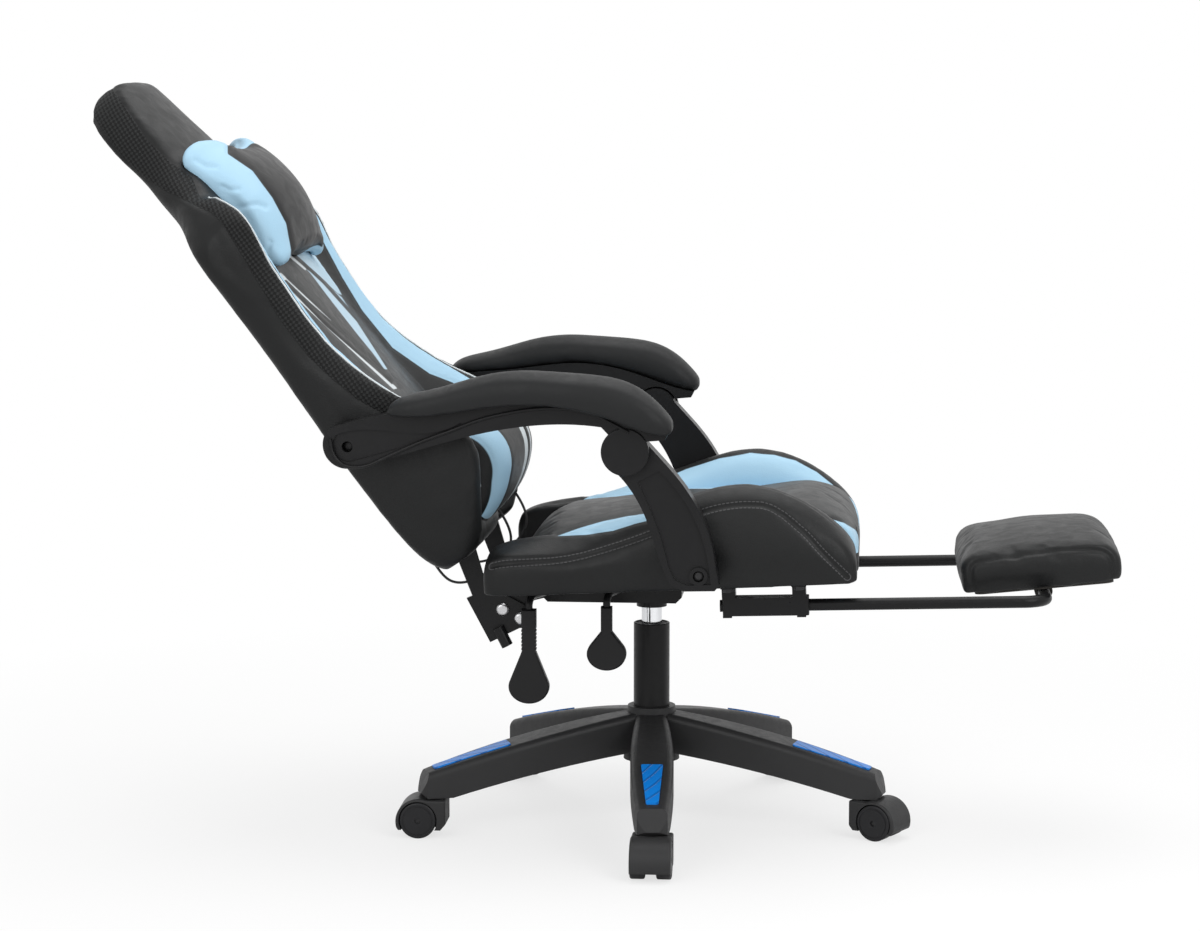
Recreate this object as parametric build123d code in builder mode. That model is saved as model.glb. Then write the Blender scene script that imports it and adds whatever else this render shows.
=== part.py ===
# Reclining gaming chair with linked armrests, a pull-out footrest and a star base on casters.
# Millimetres, +Z up. +X is the chair's front, +Y the sitter's left, origin on the floor under the column.
import os
from math import cos, radians, sin, tan

from build123d import *

os.makedirs("parts", exist_ok=True)

# Clearances used all over the chair.
running = 0.05  # radial clearance of a pin that turns or slides in its hole
foam_gap = 0.6  # between neighbouring padded pieces
swing_gap = 1.6  # between pieces that swing past each other

upright = (Align.CENTER, Align.CENTER, Align.MIN)  # stands on its own foot

# Base and casters.
leg_count = 5
first_leg = -85.7  # direction of the first leg, degrees
leg_reach = 330
leg_width = 57
hub_top = 163
hub_radius = 33
leg_root_top, leg_mid_top, leg_tip_top = 157, 129, 90
leg_root_low, leg_mid_low, leg_tip_low = 103, 82, 55
leg_mid = leg_reach - 155  # where the leg's arch is drawn through its middle heights
caster_circle = leg_reach - 18
caster_trail = 21
caster_heads = (-90, -28, 55, 128, 181)  # where each caster trails in the picture, degrees
wheel_radius = 25
caster_width = 54
caster_top = 53
stem_radius = 5.5

# Gas lift. Its cylinder ends in the mechanism under the seat.
seat_under = 359  # height of the seat's underside above the column
column_radius = 25
column_low = 90
cylinder_radius = 14
cylinder_low = 120
cylinder_top = seat_under - 29
column_top = cylinder_top - 50
nose = 28  # taper that sits in the mechanism
valve_bore = 20
rod_radius = 5
lift_travel = 80

# Seat, in its own tilted frame: p runs to the front, q up from the seat's underside.
seat_tilt = 2.9
seat_rear, seat_front = -172, 288
seat_thick = 90
seat_half = 252
centre_half = 166
side_height = 54
crest_height, crest_at = 134, 135
board_low, board_top = 2, 15.5

# Recline pivot and the back, in the back's own frame: u to the front, w up along the back.
pivot_x, pivot_z = -250, seat_under + 56
back_lean = 36
back_rear = -55
back_half = 262
back_top = 763

# Armrest linkage, in the picture's pose.
arm_seat_x, arm_seat_z = 81, seat_under + 30.6
arm_back_x, arm_back_z = -374.6, seat_under + 196
elbow_x, elbow_z = -13.4, seat_under + 193.2
arm_inner = max(seat_half + 10, back_half) + 2.5
arm_outer = arm_inner + 39.5
arm_pad_centre, arm_pad_half = arm_outer - 2, 36
elbow_radius = 31
elbow_play = 1.7  # the open pivot takes the linkage's small misclosure
bolt_radius = 6

# Footrest.
rail_radius = 8
rail_half = seat_half - 64  # the rail runs inside the seat's edges
rail_rear, rail_front = 104, 534
rail_tilt = 1.6
rail_front_z = seat_under - 12
pad_half = 150
pad_tilt = 6


def hand_over(builder, name):
    """Label one finished piece and write its file."""
    builder.part.label = name
    export_step(builder.part, f"parts/{name}.step")


def side_plane(y):
    """Plane of a side view at one Y: x to the chair's front, y up."""
    return Plane((0, y, 0), x_dir=(1, 0, 0), z_dir=(0, -1, 0))




def lifted(*points):
    """Points of the side view, each height taken from the seat's underside."""
    return [(x, seat_under + z) for x, z in points]


seat_dir = (cos(radians(seat_tilt)), 0, sin(radians(seat_tilt)))
seat_up = (-sin(radians(seat_tilt)), 0, cos(radians(seat_tilt)))
seat_flat = Plane((0, 0, seat_under), x_dir=seat_dir, z_dir=seat_up)


def seat_section(p):
    """Plane across the seat at one p: x along +Y, y along the seat's up."""
    origin = seat_flat.from_local_coords((p, 0, 0))
    return Plane(origin, x_dir=(0, 1, 0), z_dir=seat_dir)


def seat_side(y):
    """Side view of the seat in its tilted frame: x is p, y is q."""
    return Plane((0, y, seat_under), x_dir=seat_dir, z_dir=(0, -1, 0))


back_dir = (cos(radians(back_lean)), 0, sin(radians(back_lean)))
back_up = (-sin(radians(back_lean)), 0, cos(radians(back_lean)))
back_flat = Plane((pivot_x, 0, pivot_z), x_dir=back_dir, z_dir=back_up)


def back_section(w):
    """Plane across the back at one w: x is u, y is +Y."""
    return Plane(back_flat.from_local_coords((0, 0, w)), x_dir=back_dir, z_dir=back_up)


def back_side(y):
    """Side view of the back: x is u, y is w."""
    return Plane((pivot_x, y, pivot_z), x_dir=back_dir, z_dir=(0, -1, 0))


rail_dir = (cos(radians(rail_tilt)), 0, sin(radians(rail_tilt)))
rail_up = (-sin(radians(rail_tilt)), 0, cos(radians(rail_tilt)))
rail_flat = Plane((rail_front, 0, rail_front_z), x_dir=rail_dir, z_dir=rail_up)
pad_dir = (cos(radians(pad_tilt)), 0, sin(radians(pad_tilt)))
pad_up = (-sin(radians(pad_tilt)), 0, cos(radians(pad_tilt)))


def pad_section(x):
    """Plane across the footrest pad at one distance from its hinge rail."""
    origin = (rail_front + x * pad_dir[0], 0, rail_front_z + x * pad_dir[2])
    return Plane(origin, x_dir=(0, 1, 0), z_dir=pad_dir)


def stuffed(plane, centre, half, low, high, crown, tuck):
    """Outline of a stuffed piece: level bottom, bulging sides and a crowned top."""
    side = (low + high - crown) / 2
    right, left = centre + half, centre - half
    with BuildSketch(plane) as outline:
        with BuildLine():
            Line((left + tuck, low), (right - tuck, low))
            ThreePointArc((right - tuck, low), (right, side), (right - tuck, high - crown))
            ThreePointArc((right - tuck, high - crown), (centre, high), (left + tuck, high - crown))
            ThreePointArc((left + tuck, high - crown), (left, side), (left + tuck, low))
        make_face()
    return outline.sketch


# Five-star base: one nylon moulding with arched legs, hollow underneath.
with BuildPart() as leg:
    with BuildSketch(side_plane(0)):
        with BuildLine():
            ThreePointArc((15, leg_root_top), (leg_mid, leg_mid_top), (leg_reach - 6, leg_tip_top))
            Line((leg_reach - 6, leg_tip_top), (leg_reach + 4, leg_tip_low + 6))
            Line((leg_reach + 4, leg_tip_low + 6), (leg_reach - 3, leg_tip_low))
            Line((leg_reach - 3, leg_tip_low), (caster_circle - 20, leg_tip_low))
            ThreePointArc((caster_circle - 20, leg_tip_low), (leg_mid, leg_mid_low), (15, leg_root_low))
            Line((15, leg_root_low), (15, leg_root_top))
        make_face()
    extrude(amount=leg_width, both=True)
    with BuildSketch():
        with BuildLine():
            ThreePointArc((10, -20), (leg_mid + 40, -leg_width / 2), (leg_reach - 2, -20))
            ThreePointArc((leg_reach - 2, -20), (leg_reach + 5, 0), (leg_reach - 2, 20))
            ThreePointArc((leg_reach - 2, 20), (leg_mid + 40, leg_width / 2), (10, 20))
            Line((10, 20), (10, -20))
        make_face()
    extrude(amount=200, mode=Mode.INTERSECT)
    crest = leg.edges().filter_by(lambda e: e.center().Z > leg_tip_top and abs(e.center().Y) > 10)
    fillet(crest.filter_by(lambda e: e.length > 100), 9)
    # Hollow under the arch, open below, with the caster block left solid.
    with BuildSketch(side_plane(0)):
        with BuildLine():
            ThreePointArc((46, leg_root_top - 14), (leg_mid - 15, leg_mid_top - 5),
                          (caster_circle - 30, leg_tip_top + 1))
            Line((caster_circle - 30, leg_tip_top + 1), (caster_circle - 24, leg_tip_low - 10))
            Line((caster_circle - 24, leg_tip_low - 10), (46, leg_tip_low - 10))
            Line((46, leg_tip_low - 10), (46, leg_root_top - 14))
        make_face()
    extrude(amount=13, both=True, mode=Mode.SUBTRACT)

# Long trapezoid panel let into the top of each leg, near its end.
insert_in, insert_out = leg_reach - 125, leg_reach - 14
insert_slope = (leg_mid_top - leg_tip_top) / (leg_mid - leg_reach + 6)
insert_mid = (insert_in + insert_out) / 2
insert_z = leg_tip_top + insert_slope * (insert_mid - leg_reach + 6) + 0.6
insert_plane = Plane((insert_mid, 0, insert_z), x_dir=(1, 0, insert_slope), z_dir=(-insert_slope, 0, 1))


def insert_outline(margin):
    half = (insert_out - insert_in) / 2 + margin
    with BuildSketch(insert_plane) as outline:
        Polygon((-half, -15 - margin), (half, -8.5 - margin), (half, 8.5 + margin), (-half, 15 + margin),
                align=None)
        fillet(outline.vertices(), 3)
    return outline.sketch


with BuildPart() as star_base:
    with PolarLocations(0, leg_count, start_angle=first_leg):
        add(leg.part)
    with Locations((0, 0, 88)):
        Cone(hub_radius + 6, hub_radius, hub_top - 88, align=upright)
    with BuildPart(mode=Mode.PRIVATE) as insert_pockets:
        with PolarLocations(0, leg_count, start_angle=first_leg):
            add(extrude(insert_outline(0), amount=30, both=False, mode=Mode.PRIVATE))
    add(insert_pockets.part, mode=Mode.SUBTRACT)
    # Tapered socket of the gas lift, then the five caster sockets.
    with Locations((0, 0, 80)):
        Cylinder(column_radius - 1.2, 60, align=upright, mode=Mode.SUBTRACT)
    with Locations((0, 0, column_low)):
        Cone(column_radius - 1.2, column_radius, hub_top - column_low, mode=Mode.SUBTRACT,
             align=upright)
    with PolarLocations(caster_circle, leg_count, start_angle=first_leg):
        with Locations((0, 0, leg_tip_low - 5)):
            Cylinder(stem_radius + running, 33, align=upright, mode=Mode.SUBTRACT)
hand_over(star_base, "star_base")

with BuildPart() as leg_inserts:
    with PolarLocations(0, leg_count, start_angle=first_leg):
        add(extrude(insert_outline(-0.3), amount=2.4, mode=Mode.PRIVATE))
hand_over(leg_inserts, "leg_inserts")

# Outer tube of the gas lift, tapered where it sits in the hub, with a holed floor.
with BuildPart() as column_tube:
    with Locations((0, 0, column_low)):
        Cone(column_radius - 1.2, column_radius, hub_top - column_low, align=upright)
    with Locations((0, 0, hub_top)):
        Cylinder(column_radius, column_top - hub_top, align=upright)
    fillet(column_tube.edges().filter_by(GeomType.CIRCLE).sort_by(Axis.Z)[-1], 1.2)
    with Locations((0, 0, column_low + 3)):
        Cylinder(column_radius - 3, column_top - column_low + 30, mode=Mode.SUBTRACT,
                 align=upright)
    with Locations((0, 0, column_low)):
        Cylinder(rod_radius + 0.8, 10, mode=Mode.SUBTRACT)
hand_over(column_tube, "column_tube")

# Plastic bush that guides the chromed cylinder in the tube.
with BuildPart() as column_bush:
    with Locations((0, 0, column_top - 78)):
        Cylinder(column_radius - 3, 77, align=upright)
        Cylinder(cylinder_radius + running, 77, align=upright, mode=Mode.SUBTRACT)
hand_over(column_bush, "column_bush")

# Thrust bearing on the tube's floor: two races and a ring of balls.
with BuildPart() as thrust_bearing:
    for race_z in (column_low + 3, column_low + 9.1):
        with Locations((0, 0, race_z)):
            Cylinder(13, 2, align=upright)
            Cylinder(rod_radius + 0.8, 2, align=upright, mode=Mode.SUBTRACT)
    with Locations((0, 0, column_low + 7.05)):
        with PolarLocations(9.4, 9):
            Sphere(2)
hand_over(thrust_bearing, "thrust_bearing")

# Piston rod with its foot collar, piston and the clip under the tube's floor.
with BuildPart() as piston_rod:
    with Locations((0, 0, column_low - 6)):
        Cylinder(rod_radius, 158, align=upright)
    with Locations((0, 0, column_low + 11.2)):
        Cylinder(rod_radius + 4, 4, align=upright)
    with Locations((0, 0, column_low + 146)):
        Cylinder(cylinder_radius - 2.1, 10, align=upright)
    with Locations((0, 0, column_low - 4.2)):
        Cylinder(rod_radius + 4, 3, align=upright)
hand_over(piston_rod, "piston_rod")

# Chromed gas cylinder, closed at the top by its tapered nose with the valve bore.
with BuildPart() as gas_cylinder:
    with Locations((0, 0, cylinder_low)):
        Cylinder(cylinder_radius, cylinder_top - nose - cylinder_low, align=upright)
    with Locations((0, 0, cylinder_top - nose)):
        Cone(cylinder_radius, cylinder_radius - 0.7, nose, align=upright)
    with Locations((0, 0, cylinder_low + 10)):
        Cylinder(cylinder_radius - 2, cylinder_top - cylinder_low - 40, mode=Mode.SUBTRACT,
                 align=upright)
    with Locations((0, 0, cylinder_low)):
        Cylinder(rod_radius + running, 12, align=upright, mode=Mode.SUBTRACT)
    with Locations((0, 0, cylinder_top - valve_bore)):
        Cylinder(4 + running, valve_bore + 10, align=upright, mode=Mode.SUBTRACT)
hand_over(gas_cylinder, "gas_cylinder")

valve_travel = 6.5
with BuildPart() as gas_valve_button:
    with Locations((0, 0, cylinder_top - valve_bore + valve_travel + 0.5)):
        Cylinder(4, valve_bore + 6.5 - valve_travel - 0.5, align=upright)
hand_over(gas_valve_button, "gas_valve_button")


# Casters: a hooded body on a stem, with two wheels on one axle. Modelled once, then placed on each leg.
with BuildPart() as hood:
    with BuildSketch(side_plane(0)):
        with BuildLine():
            Line((-17, 20), (-17, caster_top))
            Line((-17, caster_top), (9, caster_top))
            ThreePointArc((9, caster_top), (caster_trail + 21, wheel_radius + 21), (caster_trail + 30, 16))
            Line((caster_trail + 30, 16), (caster_trail + 27, 12))
            Line((caster_trail + 27, 12), (-10, 12))
            Line((-10, 12), (-17, 20))
        make_face()
    extrude(amount=caster_width / 2, both=True)
    fillet(hood.edges().filter_by(Axis.Y).sort_by(Axis.Z)[-2:], 3)
    sides = hood.edges().filter_by(lambda e: abs(abs(e.center().Y) - caster_width / 2) < 0.1)
    fillet(sides.filter_by(lambda e: e.center().Z > 22), 3)
    # Room for the two wheels on each side of the middle web, then the axle and stem holes.
    for side in (-1, 1):
        with Locations(Location((caster_trail, side * (7 + caster_width / 4), wheel_radius), (90, 0, 0))):
            Cylinder(wheel_radius + 1.2, caster_width / 2, mode=Mode.SUBTRACT)
    with Locations(Location((caster_trail, 0, wheel_radius), (90, 0, 0))):
        Cylinder(4, caster_width, mode=Mode.SUBTRACT)
    with Locations((0, 0, 30)):
        Cylinder(stem_radius, 40, align=upright, mode=Mode.SUBTRACT)

with BuildPart() as pins:
    with Locations((0, 0, 30)):
        Cylinder(stem_radius, leg_tip_low + 26 - 30, align=upright)
    with Locations(Location((caster_trail, 0, wheel_radius), (90, 0, 0))):
        Cylinder(4, caster_width - 7)

with BuildPart() as wheel:
    with Locations(Location((caster_trail, -(7.6 + caster_width / 2) / 2, wheel_radius), (90, 0, 0))):
        Cylinder(wheel_radius, caster_width / 2 - 7.6)
        fillet(wheel.edges(), 2.5)
        Cylinder(wheel_radius - 4, caster_width / 2 - 7.6, mode=Mode.SUBTRACT)
        Cylinder(wheel_radius - 4, caster_width / 2 - 7.6 - 1.6)
        Cylinder(wheel_radius - 6, caster_width / 2 - 7.6)
    with Locations(Location((caster_trail, -7, wheel_radius), (90, 0, 0))):
        Cylinder(4 + running, caster_width - 13.4, mode=Mode.SUBTRACT)

with BuildPart() as far_wheel:
    mirror(wheel.part, about=Plane.XZ)

for number, head in enumerate(caster_heads):
    place = radians(first_leg + number * 360 / leg_count)
    spot = Location((caster_circle * cos(place), caster_circle * sin(place), 0), (0, 0, head))
    with BuildPart() as caster_hood:
        with Locations(spot):
            add(hood.part)
    hand_over(caster_hood, f"caster_{number + 1}_hood")
    with BuildPart() as caster_pins:
        with Locations(spot):
            add(pins.part)
    hand_over(caster_pins, f"caster_{number + 1}_pins")
    with BuildPart() as caster_wheel_right:
        with Locations(spot):
            add(wheel.part)
    hand_over(caster_wheel_right, f"caster_{number + 1}_wheel_right")
    with BuildPart() as caster_wheel_left:
        with Locations(spot):
            add(far_wheel.part)
    hand_over(caster_wheel_left, f"caster_{number + 1}_wheel_left")

# Seat mechanism: a pressed box with a top plate, the taper socket and two pairs of lever ears.
box_rear, box_front, box_half, box_low = -146, 46, 72, cylinder_top - 12
plate_half = 115
lever_z = cylinder_top + 6.5 + rod_radius + 0.3
lock_z = lever_z - 5
ear_y = box_half + 12
lift_x, lock_x = -30, -130
lever_pin = 2.5
bolt_spots = [(x, y) for x in (-112, 30) for y in (-100, 100)]
with BuildPart() as mechanism:
    with BuildSketch(side_plane(0)):
        rear_top = seat_under + box_rear * tan(radians(seat_tilt))
        front_top = seat_under + box_front * tan(radians(seat_tilt))
        Polygon((box_rear, box_low + 8), (box_rear + 8, box_low), (box_front - 8, box_low),
                (box_front, box_low + 8), (box_front, front_top), (box_rear, rear_top), align=None)
    extrude(amount=box_half, both=True)
    with BuildSketch(side_plane(0)):
        Polygon((box_rear + 3, box_low + 3), (box_front - 3, box_low + 3), (box_front - 3, front_top + 9),
                (box_rear + 3, rear_top + 9), align=None)
    extrude(amount=box_half - 3, both=True, mode=Mode.SUBTRACT)
    with BuildSketch(seat_flat.offset(board_low - 4)):
        with Locations(((box_rear + box_front) / 2, 0)):
            RectangleRounded(box_front - box_rear + 16, 2 * plate_half, 10)
        with Locations(*bolt_spots):
            Circle(4, mode=Mode.SUBTRACT)
    extrude(amount=4)
    with Locations((0, 0, box_low - 15)):
        Cylinder(21, cylinder_top - box_low + 14, align=upright)
    for x, z in ((lift_x, lever_z), (lock_x, lock_z)):
        for side in (-1, 1):
            with BuildSketch(Plane((x + side * 10.5, 0, 0), x_dir=(0, 1, 0), z_dir=(1, 0, 0))):
                with Locations((-ear_y + 3, z)):
                    Rectangle(20, 16)
            extrude(amount=3 * side)
    # Openings for the levers, their pins and the cylinder's nose.
    for x, z in ((lift_x, lever_z), (lock_x, lock_z)):
        with Locations((x, -box_half, z)):
            Box(21, 12, 15, mode=Mode.SUBTRACT)
        with Locations(Location((x, -ear_y, z), (0, 90, 0))):
            Cylinder(lever_pin + running, 60, mode=Mode.SUBTRACT)
    with Locations((0, 0, cylinder_top - nose)):
        Cone(cylinder_radius, cylinder_radius - 0.7, nose, mode=Mode.SUBTRACT,
             align=upright)
    with Locations((0, 0, box_low - 20)):
        Cylinder(cylinder_radius, cylinder_top - nose + 0.2 - box_low + 20, align=upright,
                 mode=Mode.SUBTRACT)
hand_over(mechanism, "mechanism")

# Levers: a bent steel rod on a cross pin in the ears, with a moulded paddle on its hanging end.
paddle_y = -150


def lever_rod(pin_x, pin_z, inner, bend_x, low_z):
    """Rod from inside the box, over the pin, out to the paddle and down into it."""
    with BuildPart() as rod:
        with BuildLine() as path:
            FilletPolyline(inner, (pin_x, -ear_y, pin_z), (bend_x, paddle_y, pin_z),
                           (bend_x, paddle_y, low_z), radius=13)
        with BuildSketch(Plane(path.line @ 0, z_dir=path.line % 0)):
            Circle(rod_radius)
        sweep()
        with Locations(Location((pin_x, -ear_y, pin_z), (0, 90, 0))):
            Cylinder(lever_pin, 30)
    return rod


def paddle(x, neck_top, neck_low, tip, neck, wide):
    """Flat tear-drop handle hanging from a straight neck."""
    with BuildPart() as handle:
        with BuildSketch(side_plane(paddle_y)) as face:
            with Locations((x, tip + wide * 0.42)):
                Ellipse(wide / 2, wide * 0.42)
            with Locations((x, neck_low - 4)):
                Rectangle(neck, 8)
            make_hull(face.edges())
            with Locations((x, (neck_top + neck_low) / 2 - 4)):
                Rectangle(neck, neck_top - neck_low + 8)
        extrude(amount=7, both=True)
        chamfer(handle.edges().filter_by(lambda e: abs(abs(e.center().Y - paddle_y) - 7) < 0.1), 2)
        with Locations((x, paddle_y, neck_low - 8)):
            Cylinder(rod_radius, 100, align=upright, mode=Mode.SUBTRACT)
    return handle


lift_paddle_x, lock_paddle_x = -50, -155
lift_lever = lever_rod(lift_x, lever_z, (0, 2, lever_z), lift_paddle_x, lever_z - 57.8)
hand_over(lift_lever, "lift_lever")
lift_paddle = paddle(lift_paddle_x, lever_z - 16, lever_z - 49.8, lever_z - 102.8, 15, 53)
hand_over(lift_paddle, "lift_paddle")
lock_lever = lever_rod(lock_x, lock_z, (lock_x, -50, lock_z), lock_paddle_x, lever_z - 87.8)
hand_over(lock_lever, "lock_lever")
with BuildPart() as lock_paddle:
    add(paddle(lock_paddle_x, lock_z - 16, lever_z - 79.8, lever_z - 149.8, 20, 55).part)
    # Ribbed lower half of the neck.
    for rib in range(7):
        with Locations((lock_paddle_x, paddle_y, lever_z - 77.8 + rib * 5)):
            for side in (-1, 1):
                with Locations((side * 10, 0, 0)):
                    Box(2.4, 14, 2.2, mode=Mode.SUBTRACT)
hand_over(lock_paddle, "lock_paddle")


# Seat frame: a pressed board with the armrest cross tube and two plates that hang down at the rear.
hanger_in, plate_thick = 119, 6
recline_bolt_spots = lifted((-192.7, -42.3), (-168.2, -54.3))
recline_bolt = 5
bracket_bolts = [(p, y) for p in (116, 209) for y in (-rail_half - 24, rail_half + 24)]
board_rear, board_front, board_half = seat_rear + 2, seat_front - 28, seat_half - 26
arm_bolt, arm_bolt_head = 4.5, 6.6
with BuildPart() as seat_frame:
    with BuildSketch(seat_flat.offset(board_low)):
        with Locations(((board_rear + board_front) / 2, 0)):
            RectangleRounded(board_front - board_rear, 2 * board_half, 20)
        with Locations(*bolt_spots, *bracket_bolts):
            Circle(4, mode=Mode.SUBTRACT)
        Circle(30, mode=Mode.SUBTRACT)
    extrude(amount=board_top - board_low)
    with Locations(Location((arm_seat_x, 0, arm_seat_z), (90, 0, 0))):
        Cylinder(12.5, 2 * (seat_half + 5))
    for side in (-1, 1):
        with BuildSketch(side_plane(side * (hanger_in + plate_thick / 2))):
            with BuildLine():
                Polyline(*lifted((-158, -3), (-169.4, -3), (-169.4, -10), (-212, -29), (-205, -63),
                                 (-182, -72), (-158, -66), (-158, -3)))
            make_face()
            with Locations(*recline_bolt_spots):
                Circle(recline_bolt, mode=Mode.SUBTRACT)
        extrude(amount=plate_thick / 2, both=True)
        with Locations(Location((arm_seat_x, side * (seat_half + 5), arm_seat_z), (90, 0, 0))):
            Cylinder(arm_bolt, 70, mode=Mode.SUBTRACT)
    with Locations((-163.4, 0, seat_under - 21)):
        Box(12, 2 * hanger_in, 30)
hand_over(seat_frame, "seat_frame")

# Hex bolts of the mechanism and the footrest brackets, all the same.
with BuildPart() as seat_bolts:
    with BuildSketch(seat_flat.offset(board_low - 4)):
        with Locations(*bolt_spots, *bracket_bolts):
            RegularPolygon(7.5, 6)
    extrude(amount=-5.5)
    with BuildSketch(seat_flat.offset(board_low - 4)):
        with Locations(*bolt_spots, *bracket_bolts):
            Circle(4)
    extrude(amount=14)
hand_over(seat_bolts, "seat_bolts")

# Room that the board and the cross tube take in the padding.
with BuildPart() as frame_room:
    with BuildSketch(seat_flat.offset(board_low - 6)):
        with Locations(((board_rear + board_front) / 2, 0)):
            RectangleRounded(board_front - board_rear, 2 * board_half, 20)
    extrude(amount=board_top - board_low + 6)
    with Locations(Location((arm_seat_x, 0, arm_seat_z), (90, 0, 0))):
        Cylinder(12.5, 600)

# Seat padding: a crowned centre cushion between two side bolsters that rise towards the front.
centre_stations = ((seat_rear, 152, 56, 4), (seat_rear + 10, 160, 76, 8),
                   (seat_rear + 40, centre_half, seat_thick, 10), (-20, centre_half, seat_thick + 1, 10),
                   (150, centre_half, seat_thick + 1, 10),
                   (seat_front - 36, centre_half, seat_thick, 10), (seat_front - 12, centre_half, 72, 8),
                   (seat_front, 158, 42, 4))
with BuildPart() as seat_cushion:
    loft([stuffed(seat_section(p), 0, half, board_low, high, crown, 5)
          for p, half, high, crown in centre_stations])
    with BuildSketch(seat_flat):
        Rectangle(800, 2 * centre_half)
    extrude(amount=200, both=True, mode=Mode.INTERSECT)
    add(frame_room.part, mode=Mode.SUBTRACT)
hand_over(seat_cushion, "seat_cushion")


def bolster_outline(p, inner, crest, outer, out_by):
    """Section of the right bolster: upright inner wall, arched top, slightly bulged side."""
    near = -centre_half - foam_gap
    far = -seat_half + out_by
    with BuildSketch(seat_section(p)) as outline:
        with BuildLine():
            Line((near, board_low), (near, inner))
            ThreePointArc((near, inner), (near * 0.46 + far * 0.54, crest), (far + 5, outer))
            ThreePointArc((far + 5, outer), (far, (outer + board_low) / 2), (far + 5, board_low))
            Line((far + 5, board_low), (near, board_low))
        make_face()
    return outline.sketch


bolster_stations = ((seat_rear - 34, 38, 42, 36, 16), (seat_rear - 18, 66, 64, 50, 6),
                    (-110, 78, 76, side_height, 1), (-40, 79, 88, 60, 0), (40, 79, 113, 76, 0),
                    (crest_at, 79, crest_height, 92, 0), (crest_at + 65, 79, 120, 84, 0),
                    (seat_front - 36, 76, 86, 66, 2), (seat_front - 12, 58, 60, 50, 6),
                    (seat_front - 2, 40, 42, 36, 14))
with BuildPart() as seat_bolster_right:
    loft([bolster_outline(*station) for station in bolster_stations])
    add(frame_room.part, mode=Mode.SUBTRACT)
hand_over(seat_bolster_right, "seat_bolster_right")
with BuildPart() as seat_bolster_left:
    mirror(seat_bolster_right.part, about=Plane.XZ)
hand_over(seat_bolster_left, "seat_bolster_left")

# Recline brackets: flat plates bolted to the hangers, each with an eye for the back's pivot pin.
pivot_pin = 6
with BuildPart() as recline_brackets:
    for side in (-1, 1):
        with BuildSketch(side_plane(side * (hanger_in + plate_thick * 1.5))) as plate:
            Polygon(*lifted((-242, -28), (-210, -88), (-162, -64), (-162, -37), (-208, -13)), align=None)
            with BuildSketch(mode=Mode.PRIVATE) as bar:
                with Locations((pivot_x, pivot_z)):
                    Circle(15)
                with Locations((-223, seat_under - 23)):
                    Circle(11)
                make_hull(bar.edges())
            add(bar.sketch)
            with Locations(*recline_bolt_spots):
                Circle(recline_bolt, mode=Mode.SUBTRACT)
            with Locations((pivot_x, pivot_z)):
                Circle(pivot_pin + running, mode=Mode.SUBTRACT)
        extrude(amount=plate_thick / 2, both=True)
        stop_y = side * (hanger_in + plate_thick + 8.1)
        stop = Plane((-199, stop_y, seat_under - 67), x_dir=(0, 1, 0), z_dir=(0.454, 0, -0.891))
        with BuildSketch(stop):
            Circle(8)
        extrude(amount=28)
hand_over(recline_brackets, "recline_brackets")


def dome_bolt(spot, shank, head, reach):
    """Bolt along its own +Z: domed head on the outside, shank below it."""
    with BuildPart(mode=Mode.PRIVATE) as bolt:
        Cylinder(shank, reach, align=(Align.CENTER, Align.CENTER, Align.MAX))
        Cylinder(head, head * 0.6, align=upright)
        fillet(bolt.edges().filter_by(GeomType.CIRCLE).sort_by(Axis.Z)[-1], head * 0.5)
    return bolt.part.moved(spot)


with BuildPart() as recline_bolts:
    for side in (-1, 1):
        for x, z in recline_bolt_spots:
            y = side * (hanger_in + 2 * plate_thick)
            add(dome_bolt(Location((x, y, z), (-side * 90, 0, 0)), recline_bolt, 9, 20))
hand_over(recline_bolts, "recline_bolts")


# Back frame: two uprights, cross tubes, a head plate and the pivot pins that run in the bracket eyes.
upright_y, upright_u, upright_r = 150, -8, 11
upright_top = 545
arm_tube_u = (arm_back_x - pivot_x) * back_dir[0] + (arm_back_z - pivot_z) * back_dir[2]
arm_tube_w = (arm_back_x - pivot_x) * back_up[0] + (arm_back_z - pivot_z) * back_up[2]
with BuildPart() as back_frame:
    for side in (-1, 1):
        with BuildSketch(back_section(-12)):
            with Locations((upright_u, side * upright_y)):
                Circle(upright_r)
        extrude(amount=upright_top + 12)
        with Locations(Location((pivot_x, side * (upright_y - 15), pivot_z), (90, 0, 0))):
            Cylinder(pivot_pin, 34)
        with Locations(Location((pivot_x, side * (hanger_in + 2), pivot_z), (90, 0, 0))):
            Cylinder(pivot_pin + 4, 4)
    with Locations(Location((arm_back_x, 0, arm_back_z), (90, 0, 0))):
        Cylinder(12.5, 2 * (back_half + 1))
    with BuildSketch(back_side(0)):
        with Locations((upright_u, upright_top - 10), (upright_u, 60)):
            Circle(9)
    extrude(amount=upright_y, both=True)
    with BuildSketch(back_section(upright_top - 16)):
        with Locations((upright_u - 3, 0)):
            Rectangle(6, 110)
    extrude(amount=150)
    for side in (-1, 1):
        with Locations(Location((arm_back_x, side * (back_half + 1), arm_back_z), (90, 0, 0))):
            Cylinder(arm_bolt, 70, mode=Mode.SUBTRACT)
hand_over(back_frame, "back_frame")


def back_cross(w):
    """Plane across the back with x along +Y and y along u."""
    origin = back_flat.from_local_coords((0, 0, w))
    return Plane(origin, x_dir=(0, 1, 0), z_dir=(-back_up[0], 0, -back_up[2]))


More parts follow.
